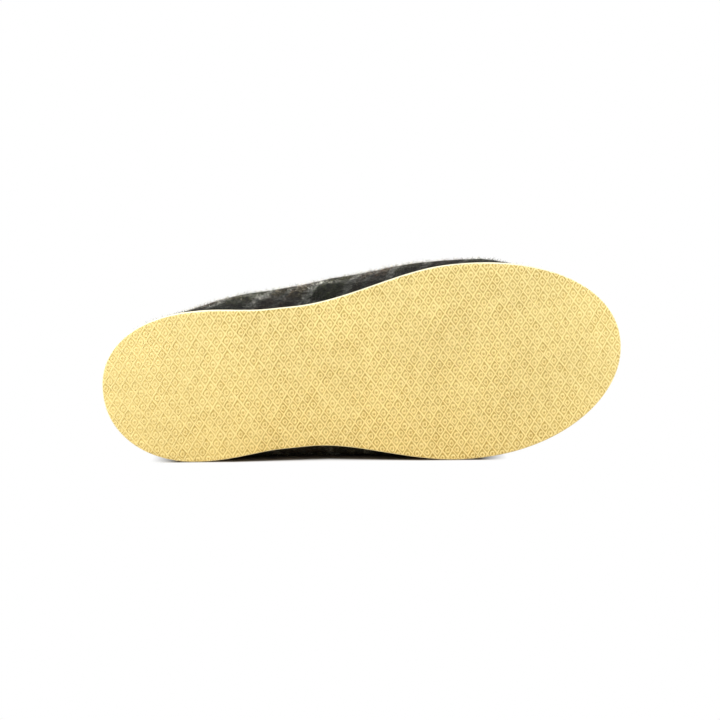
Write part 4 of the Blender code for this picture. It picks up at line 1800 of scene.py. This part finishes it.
    def stitch(self) -> Object:
        """One stitch of thread, a little arched, that dips into the cloth at both ends."""
        corners = self.stitch_corners
        angle = 2.0 * math.pi * np.arange(corners) / corners
        half = 0.5 * self.stitch_length
        points = []
        for t in np.linspace(-1.0, 1.0, self.stitch_rings):
            radius = self.stitch_radius * math.sqrt(max(1.0 - t * t, self.stitch_end))
            lift = self.stitch_radius * (self.stitch_lift - self.stitch_dip * t * t)
            points += [(half * t, radius * math.cos(a), lift + radius * math.sin(a)) for a in angle]
        faces = [tuple(face[::-1]) for face in ring_faces(self.stitch_rings, corners)]
        faces += [tuple(range(corners)), tuple(range(len(points) - 1, len(points) - 1 - corners, -1))]
        return new_object("hem_stitch", mesh_from("hem_stitch", points, faces))

    @staticmethod
    def stitch_tree() -> NodeTree:
        """Geometry tree that sets stitches along a line, each upright on the cloth."""
        sockets = SHAPE_IN | {"Stitch": Kind.OBJECT, "Pitch": Kind.NUMBER}
        graph, entry = make_tree("hem_stitches", sockets, SHAPE_OUT)
        line = graph.add("GeometryNodeMeshToCurve", {0: entry["Geometry"]})
        even = graph.add(
            "GeometryNodeResampleCurve",
            {"Curve": line.outputs[0], "Length": entry["Pitch"]},
            mode="LENGTH",
        )
        along = graph.add(
            "FunctionNodeAlignRotationToVector",
            {"Vector": graph.add("GeometryNodeInputTangent").outputs[0]},
            axis="X",
        )
        upright = graph.add(
            "FunctionNodeAlignRotationToVector",
            {"Rotation": along.outputs[0], "Vector": graph.named("outward", "FLOAT_VECTOR")},
            axis="Z",
            pivot_axis="X",
        )
        stamp = graph.add("GeometryNodeObjectInfo", {"Object": entry["Stitch"]}).outputs["Geometry"]
        copies = {"Points": even.outputs[0], "Instance": stamp, "Rotation": upright.outputs[0]}
        graph.dress(graph.repeat(copies), entry["Material"])
        return graph.tree

    def sew_hem(self, skin: Array, outward: Array, finish: Material) -> Object:
        """Sew the turned hem down.

        Args:
            skin: points of the outer skin.
            outward: its outward directions.
            finish: the thread's material.

        Returns:
            The piece.
        """
        climb = self.climb(skin)
        below = climb[-1] - climb
        cloth = self.above_floor(skin + self.hem(skin)[..., None] * outward)
        wanted = self.hem_width - self.stitch_above_hem
        row = (below < wanted).argmax(axis=0)
        column = np.arange(skin.shape[1])
        share = (below[row - 1, column] - wanted) / (below[row - 1, column] - below[row, column])
        line = cloth[row - 1, column] + share[:, None] * (cloth[row, column] - cloth[row - 1, column])
        edges = [(k, (k + 1) % len(line)) for k in range(len(line))]
        path = mesh_from("hem_line", self.lie.to_world(line), [], edges)
        directions = path.attributes.new("outward", "FLOAT_VECTOR", "POINT")
        directions.data.foreach_set("vector", self.lie.turn(outward[row, column]).astype(np.float32).ravel())
        stamp = self.stitch()
        values = {"Stitch": stamp, "Pitch": self.stitch_pitch, "Material": finish}
        mesh = run_nodes(self.stitch_tree(), path, values)
        bpy.data.objects.remove(stamp)
        mesh.shade_smooth()
        return add_piece("hem_stitches", mesh)

    def build(self, effects: SharedEffects) -> list[Object]:
        """Make the upper with its nap and hem.

        Args:
            effects: the shared shader groups.

        Returns:
            The pieces.
        """
        skin, outward = self.dressed_skin()
        shell = self.shell(skin, outward, [CLOTH.build(effects), LINING.build(effects)])
        pieces = [add_piece("upper_shell", shell, "upper")]
        pieces.append(self.grow_nap(shell.copy(), NAP.build(effects)))
        pieces.append(self.sew_hem(skin, outward, THREAD.build(effects)))
        return pieces


@dataclass
class Insole:
    """Felt sock that lies on the sole inside the upper."""

    last: Last
    lie: Lie
    upper: Upper
    thickness: float = 0.0040
    clearance: float = 0.0007
    edge_round: float = 0.0012
    edge_levels: int = 5
    sharp_angle: float = math.radians(50.0)
    strips: int = 16
    imprint: float = 0.0007
    imprints: tuple = ((0.16, 0.030), (0.70, 0.040))  # station and reach under heel and ball

    def surface(self, plan: Array) -> Array:
        """Height of the felt, with shallow hollows under heel and ball."""
        hollow = np.zeros(len(plan))
        for station, reach in self.imprints:
            way = (plan - (station * self.last.length, 0.0)) / reach
            hollow += np.exp(-(way**2).sum(axis=-1))
        return self.last.feather_height(plan[:, 0]) + self.thickness - self.imprint * hollow

    def build(self, effects: SharedEffects) -> Object:
        """Make the insole.

        Args:
            effects: the shared shader groups.

        Returns:
            The piece.
        """
        foot = self.upper.foot_ring(self.last.upper_skin(self.upper.columns, self.upper.rows))
        outward = ring_normals(foot)
        ring = foot - self.clearance * outward
        levels = []
        for angle in np.linspace(0.0, 0.5 * math.pi, self.edge_levels):
            round_off = self.edge_round * (1.0 - np.array((math.cos(angle), math.sin(angle))))
            plan = ring - round_off[0] * outward
            levels.append((plan, self.last.feather_height(plan[:, 0]) + self.thickness - round_off[1]))
        levels.insert(0, (ring, self.last.feather_height(ring[:, 0])))
        across = plate_points(levels[-1][0], self.strips)
        under = plate_points(ring, self.strips)
        points = np.concatenate(
            [np.column_stack(level) for level in levels]
            + [np.column_stack((across, self.surface(across)))]
            + [np.column_stack((under, self.last.feather_height(under[:, 0])))]
        )
        count = len(ring)
        faces = ring_faces(len(levels), count).tolist()
        last_ring = list(range((len(levels) - 1) * count, len(levels) * count))
        faces += plate_faces(last_ring, len(levels) * count, self.strips)
        faces += plate_faces(list(range(count)), len(levels) * count + len(across), self.strips)
        mesh = mesh_from("insole_felt", self.lie.to_world(points), faces)
        mesh.materials.append(SOCK.build(effects))
        close_faces(mesh, self.sharp_angle)
        return add_piece("insole_felt", mesh, "insole")


class Lamp(NamedTuple):
    """One soft light."""

    name: str
    place: tuple[float, float, float]
    size: float
    power: float
    colour: Colour


@dataclass
class Studio:
    """Pale floor, soft light and the camera at the photograph's view."""

    frame_width: float = 0.3582  # what the picture shows across at the target
    distance: float = 1.2
    elevation: float = math.radians(6.0)
    roll: float = math.radians(-0.5)
    target: tuple[float, float, float] = (-0.0010, -0.0455, 0.0505)
    sensor: float = 0.036
    floor_radius: float = 40.0
    floor_sides: int = 64
    floor_roughness: float = 0.9
    floor_colour: Colour = (0.60, 0.510, 0.36)  # for rays that light the slipper
    shade_size: tuple[float, float] = (0.095, 0.075)  # reach of that colour round the origin
    glow_start: float = 0.85  # where it starts to fade to white, as a share of that reach
    glow_end: float = 2.40
    contact_ends: tuple[float, float] = (-0.1065, 0.0725)  # ends of the painted shadow in the gap under the slipper
    contact_fade: float = 0.014
    contact_front: tuple[float, float] = (-0.0490, -0.0462)  # where the painted shadow in the gap starts and where it is full
    arch_middle: float = -0.017  # around here the painted shadow is full only farther back
    arch_reach: float = 0.047
    arch_depth: float = 0.009
    contact_back: tuple[float, float] = (-0.022, 0.014)
    # painted shadow: the colour that the camera sees in the gap under the slipper
    contact_shadow_colour: Colour = (0.14, 0.12, 0.10)
    shadow_middle: tuple[float, float] = (-0.010, 0.040)
    shadow_size: tuple[float, float] = (0.095, 0.085)
    shadow_start: float = 0.40
    shadow_colour: Colour = (0.80, 0.80, 0.80)
    sky: float = 0.30  # strength for rays that light the slipper
    lamps: tuple[Lamp, ...] = (
        Lamp("key", (-0.40, -0.24, 0.30), 0.30, 2.57, (0.94, 0.97, 1.00)),
        Lamp("fill", (0.44, -0.24, 0.28), 0.30, 1.95, (0.94, 0.97, 1.00)),
        Lamp("top", (0.00, 0.20, 1.50), 1.2, 21.0, (1.00, 1.00, 1.00)),
    )

    def build(self) -> None:
        """Make the whole studio."""
        self.add_floor()
        self.add_light()
        self.add_camera()

    def clear_of_painted_shadow(self, graph: Graph, place: NodeSocket) -> NodeSocket:
        """How far a place on the floor is out of the painted shadow in the gap under the slipper, from 0 to
        1.
        """
        at = graph.add("ShaderNodeSeparateXYZ", {0: place}).outputs
        heel, toe = self.contact_ends
        front, full = self.contact_front
        away = graph.math("ABSOLUTE", graph.math("SUBTRACT", at[0], self.arch_middle))
        arch = graph.span(away, 0.0, self.arch_reach, full + self.arch_depth, full)
        behind = graph.span(at[1], *self.contact_back, 0.0, 1.0)
        sides = (
            graph.span(at[0], toe - self.contact_fade, toe, 0.0, 1.0),
            graph.span(at[1], front, arch, 1.0, 0.0),
            graph.math("MULTIPLY", behind, behind),
        )
        clear = graph.span(at[0], heel + self.contact_fade, heel, 0.0, 1.0)
        for side in sides:
            clear = graph.math("MAXIMUM", clear, side)
        return clear

    def add_floor(self) -> None:
        """Floor that glows white to the camera but for a painted shadow in the gap and a soft real shadow,
        and gives other rays a warm bounce and a glow farther off.
        """
        shape = bmesh.new()
        bmesh.ops.create_circle(shape, cap_ends=True, segments=self.floor_sides, radius=self.floor_radius)
        mesh = bpy.data.meshes.new("floor")
        shape.to_mesh(mesh)
        shape.free()
        graph, surface = start_material("floor")
        place = graph.add("ShaderNodeTexCoord").outputs["Object"]
        seen = graph.add("ShaderNodeLightPath").outputs["Is Camera Ray"]
        way = graph.vector("DIVIDE", place, (*self.shade_size, 1.0))
        far = graph.span(graph.length(way), self.glow_start, self.glow_end, 0.0, 1.0)
        clear = self.clear_of_painted_shadow(graph, place)
        way = graph.vector("SUBTRACT", place, (*self.shadow_middle, 0.0))
        way = graph.vector("DIVIDE", way, (*self.shadow_size, 1.0))
        soft = graph.span(graph.length(way), self.shadow_start, 1.0, 0.0, 1.0)
        glow = graph.span(seen, 0.0, 1.0, far, graph.math("MINIMUM", clear, soft))
        # painted shadow in the gap, and a pale colour where the real soft shadow falls
        shadow = graph.mix(clear, self.contact_shadow_colour, self.shadow_colour)
        colour = graph.mix(seen, self.floor_colour, shadow)
        inputs = {
            "Base Color": graph.mix(glow, colour, (0.0, 0.0, 0.0)),
            "Roughness": self.floor_roughness,
            "Specular IOR Level": 0.0,
            "Emission Color": (1.0, 1.0, 1.0, 1.0),
            "Emission Strength": glow,
        }
        graph.fill(surface, inputs)
        mesh.materials.append(bpy.data.materials["floor"])
        floor = new_object("floor", mesh)

    def add_light(self) -> None:
        """White sky and large soft lamps."""
        scene = bpy.context.scene
        scene.view_settings.view_transform = "Standard"
        world = bpy.data.worlds.new("studio")
        world.use_nodes = True
        graph = Graph(world.node_tree)
        sky = world.node_tree.nodes["Background"]
        sky.inputs["Color"].default_value = (1.0, 1.0, 1.0, 1.0)
        seen = graph.add("ShaderNodeLightPath").outputs["Is Camera Ray"]
        strength = graph.span(seen, 0.0, 1.0, self.sky, 1.0)
        graph.tree.links.new(strength, sky.inputs["Strength"])
        scene.world = world
        for lamp in self.lamps:
            light = bpy.data.lights.new(lamp.name, "AREA")
            light.energy = lamp.power
            light.color = lamp.colour
            light.size = lamp.size
            holder = new_object(lamp.name, light)
            way = Vector(lamp.place) - Vector(self.target)
            turn = way.to_track_quat("Z", "Y").to_matrix().to_4x4()
            holder.matrix_world = Matrix.Translation(lamp.place) @ turn
            holder.visible_camera = False

    def add_camera(self) -> None:
        """Long lens, a little above the floor, square to the tread."""
        data = bpy.data.cameras.new("camera")
        data.sensor_width = MILLIMETRES * self.sensor
        data.lens = MILLIMETRES * self.sensor * self.distance / self.frame_width
        camera = new_object("camera", data)
        back = Vector((0.0, -math.cos(self.elevation), math.sin(self.elevation)))
        up = Vector((0.0, math.sin(self.elevation), math.cos(self.elevation)))
        right = Vector((1.0, 0.0, 0.0))
        rolled = math.cos(self.roll) * right + math.sin(self.roll) * up
        axes = Matrix((rolled, back.cross(rolled), back)).transposed()
        camera.matrix_world = Matrix.Translation(Vector(self.target) + self.distance * back) @ axes.to_4x4()
        bpy.context.scene.camera = camera


# the hollow colours below are painted shade of the moulded recesses
TREAD_RUBBER = RubberFinish("rubber_tread", crest=(0.93, 0.757, 0.332), hollow=(0.565, 0.407, 0.113))
EDGE_RUBBER = RubberFinish("rubber_edge", crest=(0.82, 0.74, 0.52), hollow=(0.74, 0.64, 0.40), contrast=0.12)
CLOTH = TartanFinish(
    "tartan_wool", coordinate="cloth", lift=0.34, pressed_and_shaded=0.5, raised=2.0, contrast=1.8, sheen=0.10
)
NAP = TartanFinish(
    "wool_fibre", coordinate="root", lift=0.62, tone="tone", contrast=1.7, sheen=0.15, weave_depth=0.0
)
LINING = FeltFinish("lining_felt", colour=(0.30, 0.27, 0.23))
SOCK = FeltFinish("sock_felt", colour=(0.42, 0.37, 0.30))
THREAD = FeltFinish("hem_thread", colour=(0.05, 0.048, 0.042), felt_depth=0.0002)


def main() -> None:
    """Build the slipper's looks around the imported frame."""
    logging.basicConfig(level=logging.INFO, format="%(name)s %(message)s")
    for old in list(bpy.data.objects):
        bpy.data.objects.remove(old, do_unlink=True)
    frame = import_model()
    last = Last()
    lie = Lie.from_record(frame["record"], last)
    effects = SharedEffects()
    Outsole(last, lie).build(effects)
    upper = Upper(last, lie)
    upper.build(effects)
    Insole(last, lie, upper).build(effects)
    Studio().build()


if __name__ == "__main__":
    main()
